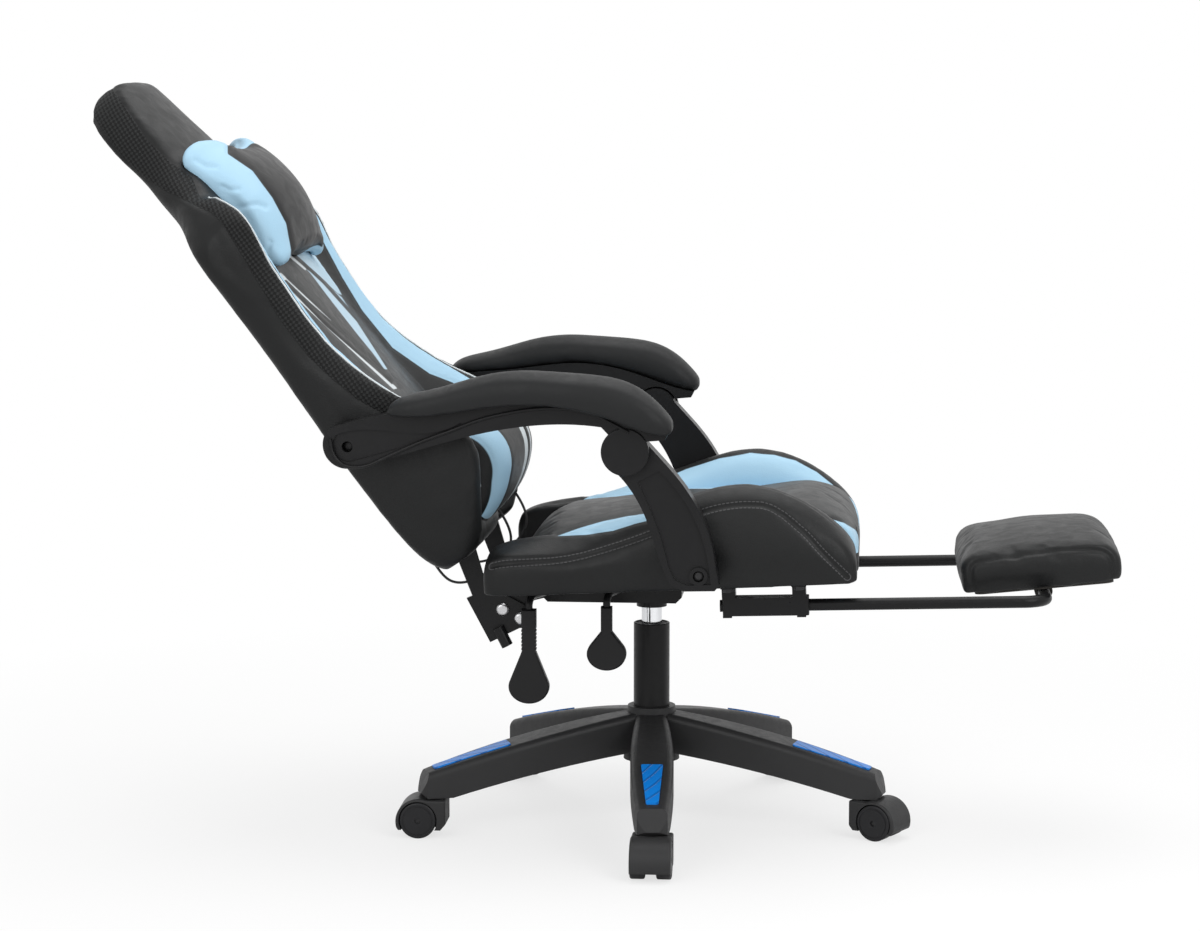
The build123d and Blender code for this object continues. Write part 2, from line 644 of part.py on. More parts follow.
# Back padding: a centre panel that widens into the head, between two deep side wings.
# Each station: w, half width, rear u, front u, crown.
panel_half = 167
panel_stations = ((-27, 146, -38, 14, 6), (-8, 162, -50, 26, 8), (90, panel_half, back_rear, 34, 10),
                  (200, panel_half, back_rear, 28, 10), (330, panel_half, back_rear, 17, 10),
                  (460, panel_half, back_rear, 16, 10), (550, 165, back_rear, 16, 11),
                  (605, 156, back_rear, 14, 13), (660, 149, back_rear - 1, 10, 14),
                  (715, 136, back_rear - 3, 4, 13), (748, 110, -53, 0, 9), (back_top, 78, -42, -8, 5))
with BuildPart() as back_panel:
    loft([stuffed(back_cross(w), 0, half, rear, front, crown, 7)
          for w, half, rear, front, crown in panel_stations])
    with BuildSketch(back_side(0)):
        with Locations((0, 370)):
            Rectangle(400, 1000)
    extrude(amount=panel_half, both=True, mode=Mode.INTERSECT)
    add(back_frame.part, mode=Mode.SUBTRACT)
    # Slots that let the bracket eyes and pin heads in from below.
    for side in (-1, 1):
        with BuildSketch(back_side(side * (upright_y - upright_r - 12.5))):
            with Locations((0, -14)):
                Rectangle(130, 76)
        extrude(amount=12.5, both=True, mode=Mode.SUBTRACT)
hand_over(back_panel, "back_panel")


def wing_outline(w, reach, front, inner_front, rear):
    """Section of the right wing: rear, rounded edge, raised crest and the slope down to the centre panel."""
    near = -panel_half - foam_gap
    with BuildSketch(back_cross(w)) as outline:
        with BuildLine():
            Line((near, inner_front), (near, rear))
            Line((near, rear), (-reach + 16, rear + 7))
            ThreePointArc((-reach + 16, rear + 7), (-reach + 2.5, (rear + front) / 2 - 6),
                          (-reach, front - 14))
            ThreePointArc((-reach, front - 14), (-reach + 7, front - 3.5), (-reach + 22, front))
            ThreePointArc((-reach + 22, front), (near * 0.55 - reach * 0.45, (inner_front + front) / 2 - 1),
                          (near, inner_front))
        make_face()
    return outline.sketch


# Each station: w, reach to the side, front crest u, front u beside the panel, rear u.
wing_stations = ((-25, 206, 26, 8, -36), (-5, 222, 46, 16, -47), (40, 243, 84, 24, -54),
                 (98, 257, 114, 24, back_rear), (150, back_half, 98, 20, back_rear),
                 (200, back_half, 72, 18, back_rear), (250, 258, 50, 12, back_rear),
                 (320, 251, 31, 7, back_rear), (400, 253, 29, 6, back_rear), (450, 259, 34, 6, back_rear),
                 (490, back_half, 44, 6, back_rear), (522, 250, 42, 6, back_rear), (550, 226, 30, 5, -53),
                 (572, 200, 14, 3, -50))
with BuildPart() as back_wing_right:
    loft([wing_outline(*station) for station in wing_stations])
    with Locations(Location((arm_back_x, 0, arm_back_z), (90, 0, 0))):
        Cylinder(12.5, 2 * back_half + 40, mode=Mode.SUBTRACT)
hand_over(back_wing_right, "back_wing_right")
with BuildPart() as back_wing_left:
    mirror(back_wing_right.part, about=Plane.XZ)
hand_over(back_wing_left, "back_wing_left")


def pillow_outline(y, u_low, u_high, w_low, w_high, chin=0.62, chin_rise=18, heel=0.28, heel_rise=0):
    """Section of a loose pillow in the back's side view, flat behind, full in front, drawn in at the chin."""
    mid = (w_low + w_high) / 2
    depth = u_high - u_low
    brow = (u_low + depth * 0.62, w_high - 18)
    jaw = (u_low + depth * chin, w_low + chin_rise)
    with BuildSketch(back_side(y)) as outline:
        with BuildLine():
            Line((u_low, w_low + 14), (u_low, w_high - 14))
            ThreePointArc((u_low, w_high - 14), (u_low + depth * 0.28, w_high), brow)
            ThreePointArc(brow, (u_high, mid), jaw)
            ThreePointArc(jaw, (u_low + depth * heel, w_low + heel_rise), (u_low, w_low + 14))
        make_face()
    return outline.sketch


# Headrest pillow, its ends a little taller than its middle.
head_stations = ((-148, 26.4, 46, 470, 620), (-138, 20.4, 58, 448, 640), (-80, 16.4, 76, 446, 628),
                 (0, 16.4, 86, 444, 620))
with BuildPart() as headrest_pillow:
    loft([pillow_outline(y, *rest)
          for y, *rest in head_stations + tuple((-s[0],) + s[1:] for s in head_stations[-2::-1])])
hand_over(headrest_pillow, "headrest_pillow")

# Lumbar pillow between the wings, fullest above the seat and drawn in below, so that it clears the seat.
lumbar_low = -20
lumbar_stations = ((-160, 40, 74, lumbar_low + 20, 128), (-148, 37, 108, lumbar_low + 6, 142),
                   (-80, 36, 130, lumbar_low, 150), (0, 36, 138, lumbar_low, 152))
with BuildPart() as lumbar_pillow:
    loft([pillow_outline(y, *rest, chin=0.72, chin_rise=46, heel=0.35, heel_rise=23)
          for y, *rest in lumbar_stations + tuple((-s[0],) + s[1:] for s in lumbar_stations[-2::-1])])
hand_over(lumbar_pillow, "lumbar_pillow")

# Elastic cords that hold the lumbar pillow, each hanging in a loop under the back's lower end.
cord_radius = 1.8
cord_route = ((58, lumbar_low + 17.6), (57, -34), (36, -57), (-8, -64), (-46, -55), (-61, -31), (-56.2, 4))


def cord_line(stops):
    """Straight runs joined by tangent arcs, each as large as its two runs allow."""
    stops = [Vector(u, w) for u, w in stops]
    start = stops[0]
    for before, corner, after in zip(stops, stops[1:], stops[2:]):
        back, on = before - corner, after - corner
        cut = 0.45 * min(back.length, on.length)
        enter, leave = corner + back.normalized() * cut, corner + on.normalized() * cut
        half_turn = (180 - back.get_angle(on)) / 2
        radius = cut / tan(radians(half_turn))
        print("cord arc radius", round(radius, 1))
        inward = (back.normalized() + on.normalized()).normalized()
        crown = corner + inward * (radius / cos(radians(half_turn)) - radius)
        Line((start.X, start.Y), (enter.X, enter.Y))
        ThreePointArc((enter.X, enter.Y), (crown.X, crown.Y), (leave.X, leave.Y))
        start = leave
    Line((start.X, start.Y), (stops[-1].X, stops[-1].Y))


with BuildPart() as lumbar_cords:
    for y in (-95, 95):
        with BuildLine(back_side(y)) as run:
            cord_line(cord_route)
        with BuildSketch(Plane(run.line @ 0, z_dir=run.line % 0)):
            Circle(cord_radius)
        sweep()
hand_over(lumbar_cords, "lumbar_cords")

# Armrests. The lower arm turns on its bolt at the seat; the upper arm turns on its bolt at the back.
def arm_face(points_in, points_out):
    """Closed face between two edges that are drawn as smooth curves through a few points."""
    with BuildSketch(mode=Mode.PRIVATE) as face:
        with BuildLine():
            Spline(*points_in)
            Spline(*points_out)
            Line(points_in[0], points_out[0])
            Line(points_in[-1], points_out[-1])
        make_face()
    return face.sketch


lower_in, lower_out = arm_inner - 6, arm_inner + 26.1
elbow_pin = 8
with BuildPart() as lower_arm_right:
    rear_edge = lifted((-33, 171), (-8, 144), (13, 105), (26, 66), (36, 37))
    front_edge = lifted((13, 204), (36, 179), (64, 145), (87, 104), (103, 43))
    with BuildSketch(side_plane(-lower_in)) as blank:
        add(arm_face(rear_edge, front_edge))
        Polygon(*lifted((36, 37), (44, 20), (62, 11), (102, 12), (108, 19), (103, 43)), align=None)
        with Locations((elbow_x, elbow_z)):
            Circle(elbow_radius - 2)
    extrude(amount=lower_out - lower_in)
    # The elbow end keeps clear of the back's wing side, and the outer face has a raised rim.
    with BuildSketch(side_plane(-lower_out)):
        add(arm_face(lifted((2, 153), (17, 121), (32, 81), (42, 43)),
                     lifted((30, 168), (58, 136), (79, 99), (94, 45))))
        Polygon(*lifted((42, 43), (50, 26), (66, 19), (97, 20), (94, 45)), align=None)
    extrude(amount=-4, mode=Mode.SUBTRACT)
    fillet(lower_arm_right.edges().filter_by(lambda e: abs(e.center().Y + lower_out - 4) < 0.1), 1)
    with BuildSketch(side_plane(-lower_out)):
        with Locations((arm_seat_x, arm_seat_z)):
            Circle(12)
    extrude(amount=-4.5)
    with Locations(Location((elbow_x, -lower_out - 4.2, elbow_z), (90, 0, 0))):
        Cylinder(elbow_pin, 12.4)
    with Locations(Location((arm_seat_x, -lower_in - 11.5, arm_seat_z), (90, 0, 0))):
        Cylinder(arm_bolt + running, 60, mode=Mode.SUBTRACT)
    with Locations(Location((arm_seat_x, -lower_out, arm_seat_z), (90, 0, 0))):
        Cylinder(arm_bolt_head + 0.6, 16, mode=Mode.SUBTRACT)
hand_over(lower_arm_right, "lower_arm_right")

pad_under = lifted((-318, 240), (-227, 248), (-123, 258), (-46, 244), (6, 226), (42, 217))
with BuildPart() as upper_arm_right:
    with BuildSketch(side_plane(-arm_inner)):
        with BuildLine():
            Spline(*lifted((-398, 220), (-360, 231)), *pad_under)
            Polyline(*lifted((42, 217), (38, 209), (15, 207)), (elbow_x, elbow_z), *lifted((-44, 225)))
            Spline(*lifted((-44, 225), (-123, 227), (-214, 212), (-305, 186), (-366, 169)))
            ThreePointArc(*lifted((-366, 169), (-400, 181), (-398, 220)))
        make_face()
    extrude(amount=arm_outer - arm_inner)
    with BuildSketch(side_plane(-lower_out - 0.6)):
        with Locations((elbow_x, elbow_z)):
            Circle(elbow_radius)
    extrude(amount=15)
    fillet(upper_arm_right.edges().filter_by(lambda e: abs(e.center().Y + lower_out + 15.6) < 0.1), 1.5)
    with Locations(Location((elbow_x, -arm_inner - 11, elbow_z), (90, 0, 0))):
        Cylinder(elbow_radius + 0.3, 2 * (lower_out + 0.6 - arm_inner - 11), mode=Mode.SUBTRACT)
    with Locations(Location((elbow_x, -lower_out - 5.3, elbow_z), (90, 0, 0))):
        Cylinder(elbow_pin + elbow_play, 12.4, mode=Mode.SUBTRACT)
    # Recessed panel round the back bolt, running out along the arm.
    with BuildSketch(side_plane(-arm_outer)):
        with BuildLine():
            Spline(*lifted((-388, 212), (-350, 219), (-290, 215), (-225, 230)))
            Line(*lifted((-225, 230), (-225, 225)))
            Spline(*lifted((-225, 225), (-300, 197), (-362, 179)))
            ThreePointArc(*lifted((-362, 179), (-389, 186), (-388, 212)))
        make_face()
    extrude(amount=-4, mode=Mode.SUBTRACT)
    with Locations(Location((arm_back_x, -arm_inner - 15.5, arm_back_z), (90, 0, 0))):
        Cylinder(arm_bolt + running, 80, mode=Mode.SUBTRACT)
    with Locations(Location((arm_back_x, -arm_outer, arm_back_z), (90, 0, 0))):
        Cylinder(arm_bolt_head + 0.6, 40, mode=Mode.SUBTRACT)
hand_over(upper_arm_right, "upper_arm_right")


def across(x):
    """Plane across the chair at one X: x along +Y, y up."""
    return Plane((x, 0, 0), x_dir=(0, 1, 0), z_dir=(1, 0, 0))


# Arm pad: each station is X, half width, underside, top and crown.
arm_pad_stations = ((-320, 20, 238, 249, 3), (-305, 30, 238, 261, 6), (-225, 34, 245, 283, 9),
                    (-120, arm_pad_half, 254, 297, 11), (-40, arm_pad_half, 240, 291, 12),
                    (10, 35, 222, 273, 12), (36, 31, 216, 250, 8), (48, 22, 218, 236, 4))
with BuildPart() as arm_pad_right:
    loft([stuffed(across(x), -arm_pad_centre, half, seat_under + low, seat_under + high, crown, 4)
          for x, half, low, high, crown in arm_pad_stations])
    add(upper_arm_right.part, mode=Mode.SUBTRACT)
hand_over(arm_pad_right, "arm_pad_right")

for name, right in (("lower_arm_left", lower_arm_right), ("upper_arm_left", upper_arm_right),
                    ("arm_pad_left", arm_pad_right)):
    with BuildPart() as left_piece:
        mirror(right.part, about=Plane.XZ)
    hand_over(left_piece, name)

# Arm bolts: one through each lower arm into the seat, one through each upper arm into the back.
for name, x, z, head_y in (("arm_bolts_seat", arm_seat_x, arm_seat_z, lower_out - 8 + 0.4),
                           ("arm_bolts_back", arm_back_x, arm_back_z, arm_outer - 20 + 0.4)):
    with BuildPart() as arm_bolts:
        for side in (-1, 1):
            seat_of_bolt = Location((x, side * head_y, z), (-side * 90, 0, 0))
            add(dome_bolt(seat_of_bolt, arm_bolt, arm_bolt_head, head_y - back_half + 30))
    hand_over(arm_bolts, name)

# Footrest: a bent rail that slides in two brackets, with a hinged pad on its cross bar.
with BuildPart() as footrest_rail:
    with BuildLine(rail_flat) as run:
        back_end = rail_rear - rail_front
        FilletPolyline((back_end, -rail_half), (0, -rail_half), (0, rail_half), (back_end, rail_half),
                       radius=30)
    with BuildSketch(Plane(run.line @ 0, z_dir=run.line % 0)):
        Circle(rail_radius)
    sweep()
hand_over(footrest_rail, "footrest_rail")

with BuildPart() as footrest_brackets:
    for side in (-1, 1):
        guide = Plane((rail_front, side * rail_half, rail_front_z), x_dir=rail_dir, z_dir=rail_up)
        with BuildSketch(guide.offset(-12)):
            with Locations((-369, 0)):
                RectangleRounded(114, 28, 4)
        extrude(amount=24)
        for p, y in bracket_bolts:
            if y * side > 0:
                with BuildSketch(seat_flat.offset(board_low)):
                    with Locations((p - 0.5, side * rail_half)):
                        Rectangle(18, 28)
                extrude(amount=-22)
                with BuildSketch(seat_flat.offset(board_low)):
                    with Locations((p, side * (rail_half + 18))):
                        RectangleRounded(20, 36, 4)
                    with Locations((p, y)):
                        Circle(4, mode=Mode.SUBTRACT)
                extrude(amount=-4)
        with BuildSketch(Plane(guide.from_local_coords((-450, 0, 0)), z_dir=rail_dir)):
            Circle(rail_radius + running)
        extrude(amount=160, mode=Mode.SUBTRACT)
        for x in (-420, -322):
            with BuildSketch(guide.offset(-12)):
                with Locations((x, 0)):
                    Rectangle(12, 20)
            extrude(amount=-3)
hand_over(footrest_brackets, "footrest_brackets")

pad_flat = Plane((rail_front, 0, rail_front_z), x_dir=pad_dir, z_dir=pad_up)
pad_low, pad_board = 9.2, 8
with BuildPart() as footrest_board:
    with BuildSketch(pad_flat.offset(pad_low)):
        RectangleRounded(184, 2 * pad_half - 20, 12)
    extrude(amount=pad_board)
    for side in (-1, 1):
        with Locations(Location((rail_front, side * 80, rail_front_z), (90, 0, 0))):
            Cylinder(rail_radius + 4, 42)
            Cylinder(rail_radius + running, 60, mode=Mode.SUBTRACT)
hand_over(footrest_board, "footrest_board")

pad_stations = ((-101, 141, 46, 4), (-93, 146, 60, 7), (-70, 149, 68, 9), (-30, pad_half, 71, 10),
                (10, pad_half, 72, 10), (50, pad_half, 70, 10), (78, 148, 64, 8), (92, 145, 52, 6),
                (97, 140, 40, 4))
with BuildPart() as footrest_pad:
    loft([stuffed(pad_section(x), 0, half, pad_low, high, crown, 4) for x, half, high, crown in pad_stations])
    add(footrest_board.part, mode=Mode.SUBTRACT)
hand_over(footrest_pad, "footrest_pad")
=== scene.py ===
from math import cos, pi, radians, sin

import bmesh
import bpy
import numpy as np
from mathutils import Euler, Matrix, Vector
from mathutils.bvhtree import BVHTree


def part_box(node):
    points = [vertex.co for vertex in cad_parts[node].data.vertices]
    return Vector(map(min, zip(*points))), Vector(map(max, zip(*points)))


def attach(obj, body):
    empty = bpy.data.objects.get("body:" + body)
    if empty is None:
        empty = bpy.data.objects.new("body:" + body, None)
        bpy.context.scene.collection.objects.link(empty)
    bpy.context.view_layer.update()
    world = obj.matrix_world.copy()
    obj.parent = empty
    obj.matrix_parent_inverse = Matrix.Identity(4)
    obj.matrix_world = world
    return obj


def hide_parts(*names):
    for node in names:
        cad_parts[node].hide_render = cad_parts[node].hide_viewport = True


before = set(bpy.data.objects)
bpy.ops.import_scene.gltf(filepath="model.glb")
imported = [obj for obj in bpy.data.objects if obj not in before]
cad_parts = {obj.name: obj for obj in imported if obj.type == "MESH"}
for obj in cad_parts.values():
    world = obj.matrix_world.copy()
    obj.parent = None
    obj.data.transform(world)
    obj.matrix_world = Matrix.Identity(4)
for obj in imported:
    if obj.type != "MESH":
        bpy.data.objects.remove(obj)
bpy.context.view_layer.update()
scene = bpy.context.scene


# Star base: one black glass-filled nylon moulding, arched legs round a hub, hollow below.
# The tool leaves a fine matt grain on it, and its tone drifts a little from leg to leg.
def put(tree, kind, inputs=None, **settings):
    """One shader node with its settings, and its inputs linked or set."""
    node = tree.nodes.new("ShaderNode" + kind)
    for key, value in settings.items():
        setattr(node, key, value)
    for key, value in (inputs or {}).items():
        if isinstance(value, bpy.types.NodeSocket):
            tree.links.new(value, node.inputs[key])
        else:
            node.inputs[key].default_value = value
    return node


def begin(name, **sockets):
    """A new material, and its main shader with the sockets that are the same all over."""
    material = bpy.data.materials.new(name)
    material.use_nodes = True
    tree = material.node_tree
    shader = tree.nodes["Principled BSDF"]
    for key, value in sockets.items():
        shader.inputs[key.replace("_", " ")].default_value = value
    return material, tree, shader


def place_of(tree):
    """Place on the object, in metres."""
    return put(tree, "TexCoord").outputs["Object"]


def figure(tree, operation, *values):
    """One step of arithmetic on the values."""
    return put(tree, "Math", dict(enumerate(values)), operation=operation).outputs[0]


def sum_of(tree, *terms):
    """Sum of value times weight over the given pairs."""
    total = None
    for value, weight in terms:
        part = figure(tree, "MULTIPLY", value, weight)
        total = part if total is None else figure(tree, "ADD", total, part)
    return total


def distance(tree):
    """Distance from the foot of the column, in metres."""
    return put(tree, "VectorMath", {0: place_of(tree)}, operation="LENGTH").outputs["Value"]


def noise(tree, place, scale, detail, distortion=0.0):
    """Uneven value about a half; the scale is its waves to the metre."""
    inputs = {"Vector": place, "Scale": scale, "Detail": detail, "Distortion": distortion}
    return put(tree, "TexNoise", inputs).outputs["Fac"]


def stretch(tree, value, low, high, to_low=0.0, to_high=1.0):
    """Value carried from one range to another, and held at both ends."""
    inputs = {"Value": value, "From Min": low, "From Max": high, "To Min": to_low, "To Max": to_high}
    return put(tree, "MapRange", inputs).outputs[0]


def between(tree, share, first, second):
    """Colour between two, by the share of the second."""
    ends = [end if isinstance(end, bpy.types.NodeSocket) else (*end, 1) for end in (first, second)]
    return put(tree, "Mix", {0: share, 6: ends[0], 7: ends[1]}, data_type="RGBA").outputs[2]


def bump(tree, height, strength, depth):
    """Relief of the surface from a height."""
    return put(tree, "Bump", {"Strength": strength, "Distance": depth, "Height": height}).outputs["Normal"]


def feed(tree, shader, **links):
    """Link values to the shader's sockets."""
    for key, value in links.items():
        tree.links.new(value, shader.inputs[key.replace("_", " ")])


def moulded(name, dark, light, rough, grain, depth):
    """Moulded plastic or paint: drifting tone, uneven gloss and a fine pebbled surface."""
    material, tree, shader = begin(name, Specular_IOR_Level=0.2)
    place = place_of(tree)
    tone = between(tree, noise(tree, place, 9.0, 4.0), dark, light)
    scuff = noise(tree, place, 60.0, 6.0, 1.5)
    gloss = stretch(tree, scuff, 0.3, 0.7, rough - 0.06, rough + 0.07)
    relief = bump(tree, noise(tree, place, grain, 2.0), 0.5, depth)
    feed(tree, shader, Base_Color=tone, Roughness=gloss, Normal=relief)
    return material


def dress(material, *nodes):
    """Give CAD nodes their finish."""
    for node in nodes:
        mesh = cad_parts[node].data
        mesh.materials.clear()
        mesh.materials.append(material)


nylon = moulded("base_nylon", (0.022, 0.022, 0.0225), (0.032, 0.032, 0.033), 0.42, 1400.0, 0.00018)
dress(nylon, "star_base")

# Leg inserts: bright blue plastic plates pressed into the legs, with shallow slanting grooves.
# The slant is worked out round the column, so that it is the same on every leg.
first_leg, leg_pitch = -85.7, 72
groove_slant, groove_pitch, groove_depth = 0.34, 0.012, 0.0008
insert_plastic, tree, shader = begin("insert_plastic", Roughness=0.32)
spot = put(tree, "SeparateXYZ", {0: place_of(tree)}).outputs
turn = figure(tree, "ARCTAN2", spot[1], spot[0])
past_edge = figure(tree, "SUBTRACT", turn, radians(first_leg - leg_pitch / 2))
on_leg = figure(tree, "FLOORED_MODULO", past_edge, radians(leg_pitch))
aside = figure(tree, "SUBTRACT", on_leg, radians(leg_pitch / 2))
slant = figure(tree, "PINGPONG", sum_of(tree, (aside, groove_slant), (distance(tree), 1.0)), groove_pitch)
groove = stretch(tree, slant, 0.002, 0.0035)
blue = between(tree, groove, (0.003, 0.14, 0.52), (0.004, 0.23, 0.78))
feed(tree, shader, Base_Color=blue, Normal=bump(tree, groove, 0.7, groove_depth))
dress(insert_plastic, "leg_inserts")

# Casters: nylon hoods and twin wheels on a steel stem and axle.
# The hoods share the base's grain, and the wheels are a little smoother where they roll.
wheel_nylon = moulded("wheel_nylon", (0.014, 0.014, 0.015), (0.024, 0.024, 0.026), 0.34, 900.0, 0.0001)
steel = moulded("bright_steel", (0.42, 0.42, 0.43), (0.62, 0.62, 0.63), 0.3, 500.0, 0.00004)
steel.node_tree.nodes["Principled BSDF"].inputs["Metallic"].default_value = 1.0
dull_steel = moulded("dull_steel", (0.03, 0.03, 0.031), (0.05, 0.05, 0.052), 0.42, 500.0, 0.00004)
for number in range(1, 6):
    dress(nylon, f"caster_{number}_hood")
    dress(wheel_nylon, f"caster_{number}_wheel_right", f"caster_{number}_wheel_left")
    dress(dull_steel, f"caster_{number}_pins")

# Gas lift: a black powder-coated outer tube, a grey guide bush, and a hard-chromed cylinder.
# The chrome has the faint rings of its grinding.
coat = moulded("powder_coat", (0.004, 0.004, 0.0042), (0.007, 0.007, 0.0075), 0.34, 700.0, 0.00012)
dress(coat, "column_tube")
dress(moulded("bush_plastic", (0.12, 0.12, 0.12), (0.2, 0.2, 0.2), 0.5, 500.0, 0.0001), "column_bush")
dress(steel, "thrust_bearing", "piston_rod")
chrome, tree, shader = begin("ground_chrome", Metallic=1.0, Base_Color=(0.74, 0.75, 0.77, 1))
height = put(tree, "SeparateXYZ", {0: place_of(tree)}).outputs[2]
rings = put(tree, "TexNoise", {"W": height, "Scale": 900.0, "Detail": 2.0}, noise_dimensions="1D")
feed(tree, shader, Roughness=stretch(tree, rings.outputs["Fac"], 0.0, 1.0, 0.08, 0.2))
dress(chrome, "gas_cylinder", "gas_valve_button")

# Seat mechanism and levers: pressed steel in black paint, steel rods, and moulded paddles.
# The paddles are bare; their faces carry no marks.
paint = moulded("black_paint", (0.004, 0.004, 0.0045), (0.008, 0.008, 0.0085), 0.32, 350.0, 0.0001)
lever_plastic = moulded("lever_plastic", (0.006, 0.006, 0.0065), (0.010, 0.010, 0.0105), 0.4, 1200.0, 0.00015)
dress(paint, "mechanism", "lift_lever", "lock_lever")
dress(lever_plastic, "lift_paddle", "lock_paddle")

# Seat frame: a painted board with the armrest tube and the hanger plates, held by hex bolts.
# Only its underside shows.
dress(paint, "seat_frame")
dress(moulded("dark_bolt", (0.03, 0.03, 0.032), (0.05, 0.05, 0.052), 0.35, 400.0, 0.00005), "seat_bolts")


# Seat cushion: a foam block in black synthetic leather, with a light blue stripe along each bolster.
# The cover is swollen by the foam, then sewn in along its seams.
def points(piece):
    """Places of the mesh's points, in metres."""
    co = np.empty(len(piece.data.vertices) * 3)
    piece.data.vertices.foreach_get("co", co)
    return co.reshape(-1, 3)


def move_to(piece, co):
    """Put the mesh's points at the given places."""
    piece.data.vertices.foreach_set("co", co.ravel())
    piece.data.update()


def ramp(value, start, full):
    """Nought at the start, rising to one where the value is full."""
    return np.clip((value - start) / (full - start), 0, 1)


def outward(piece):
    """Outward direction at each point."""
    way = np.empty(len(piece.data.vertices) * 3, np.float32)
    piece.data.vertex_normals.foreach_get("vector", way)
    return way.reshape(-1, 3).astype(float)


def settle(piece):
    """Apply the piece's modifiers to its mesh."""
    ready = piece.evaluated_get(bpy.context.evaluated_depsgraph_get())
    mesh = bpy.data.meshes.new_from_object(ready)
    piece.modifiers.clear()
    piece.data = mesh
    mesh.name = piece.name


def cover(name, voxel, *nodes):
    """Even skin over soft CAD solids, which it then stands for."""
    skin = bmesh.new()
    for node in nodes:
        skin.from_mesh(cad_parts[node].data)
    bmesh.ops.remove_doubles(skin, verts=skin.verts, dist=1e-5)
    mesh = bpy.data.meshes.new(name)
    skin.to_mesh(mesh)
    skin.free()
    piece = bpy.data.objects.new(name, mesh)
    scene.collection.objects.link(piece)
    even = piece.modifiers.new("even", "REMESH")
    even.mode = "VOXEL"
    even.voxel_size = voxel
    settle(piece)
    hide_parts(*nodes)
    return piece


def relax(piece, rounds, hold=None):
    """Round off hard edges; hold is how much each point stays."""
    before = points(piece)
    soft = bmesh.new()
    soft.from_mesh(piece.data)
    for _ in range(rounds):
        bmesh.ops.smooth_vert(soft, verts=soft.verts, factor=0.5, use_axis_x=True, use_axis_y=True,
                              use_axis_z=True)
    soft.to_mesh(piece.data)
    soft.free()
    if hold is not None:
        after = points(piece)
        move_to(piece, after + (before - after) * hold[:, None])


stuffing_pressure, stuffing_steps = 4, 12


def swell(piece, cap, free):
    """Cloth under the foam's pressure, each point moving at most cap times free."""
    before = points(piece)
    cloth = piece.modifiers.new("stuffing", "CLOTH")
    cloth.settings.use_pressure = True
    cloth.settings.uniform_pressure_force = stuffing_pressure
    cloth.settings.effector_weights.gravity = 0
    for step in range(1, stuffing_steps + 1):
        scene.frame_set(step)
    settle(piece)
    shift = points(piece) - before
    length = np.linalg.norm(shift, axis=1)
    shift *= (np.minimum(1, cap / np.maximum(length, 1e-9)) * free)[:, None]
    move_to(piece, before + shift)
    scene.frame_set(1)


def finer(piece):
    """One subdivision, applied, with smooth faces."""
    piece.modifiers.new("finer", "SUBSURF").levels = 1
    settle(piece)
    for face in piece.data.polygons:
        face.use_smooth = True


def flowing(stops, count=60):
    """Smooth line through a few points, evenly stepped."""
    stops = np.array(stops, float)
    ends = np.vstack([2 * stops[0] - stops[1], stops, 2 * stops[-1] - stops[-2]])
    line = []
    for t in np.linspace(0, len(stops) - 1 - 1e-9, count):
        i, f = int(t), t - int(t)
        a, b, c, d = ends[i:i + 4]
        line.append(0.5 * (2 * b + (c - a) * f + (2 * a - 5 * b + 4 * c - d) * f * f
                           + (3 * b - a - 3 * c + d) * f ** 3))
    return np.array(line)


def from_line(co, line):
    """Distance of each point from a line, and how far along the line that is."""
    best, run, gone = np.full(len(co), 1e9), np.zeros(len(co)), 0.0
    for a, b in zip(line[:-1], line[1:]):
        step = b - a
        length = np.linalg.norm(step)
        t = np.clip(((co - a) @ step) / max(length * length, 1e-12), 0, 1)
        away = np.linalg.norm(co - a - t[:, None] * step, axis=1)
        nearer = away < best
        best = np.where(nearer, away, best)
        run = np.where(nearer, gone + t * length, run)
        gone += length
    return best, run


def inside(spots, corners):
    """Signed distance into a flat outline: above zero inside it."""
    corners = np.array(corners, float)
    best, within = np.full(len(spots), 1e9), np.zeros(len(spots), bool)
    for a, b in zip(corners, np.roll(corners, -1, 0)):
        step = b - a
        t = np.clip(((spots - a) @ step) / max(step @ step, 1e-12), 0, 1)
        best = np.minimum(best, np.linalg.norm(spots - a - t[:, None] * step, axis=1))
        straddles = (a[1] > spots[:, 1]) != (b[1] > spots[:, 1])
        cross = a[0] + (spots[:, 1] - a[1]) * step[0] / (step[1] if abs(step[1]) > 1e-12 else 1e-12)
        within ^= straddles & (spots[:, 0] < cross)
    return np.where(within, best, -best)


def on_skin(piece, line):
    """Line laid onto the piece's surface, and the outward direction along it."""
    tree = BVHTree.FromObject(piece, bpy.context.evaluated_depsgraph_get())
    found = [tree.find_nearest(Vector(spot)) for spot in line]
    return np.array([f[0] for f in found]), np.array([f[1] for f in found])


def sew(piece, lines, depth, width):
    """Draw the cover in along each line, as a seam does."""
    co, way = points(piece), outward(piece)
    for line in lines:
        away = from_line(co, line)[0]
        co -= way * (depth * np.exp(-(away / width) ** 2))[:, None]
    move_to(piece, co)


def mark(piece, name, values, depth=0.0, width=0.003):
    """Number at each point of the mesh, zero along a panel's edge, which is drawn in by the depth."""
    layer = piece.data.attributes.new(name, "FLOAT", "POINT")
    layer.data.foreach_set("value", np.asarray(values, np.float32))
    if depth:
        move_to(piece, points(piece) - outward(piece) * (depth * np.exp(-(values / width) ** 2))[:, None])


picture_wide, picture_high = 1200, 931
camera_place = (0.3026, -4.2294, 1.0075)
camera_turn = (pi / 2 - 0.1194, 0, 0.0884)
camera_lens, camera_film = 92.64, 36
pixel = 0.00137


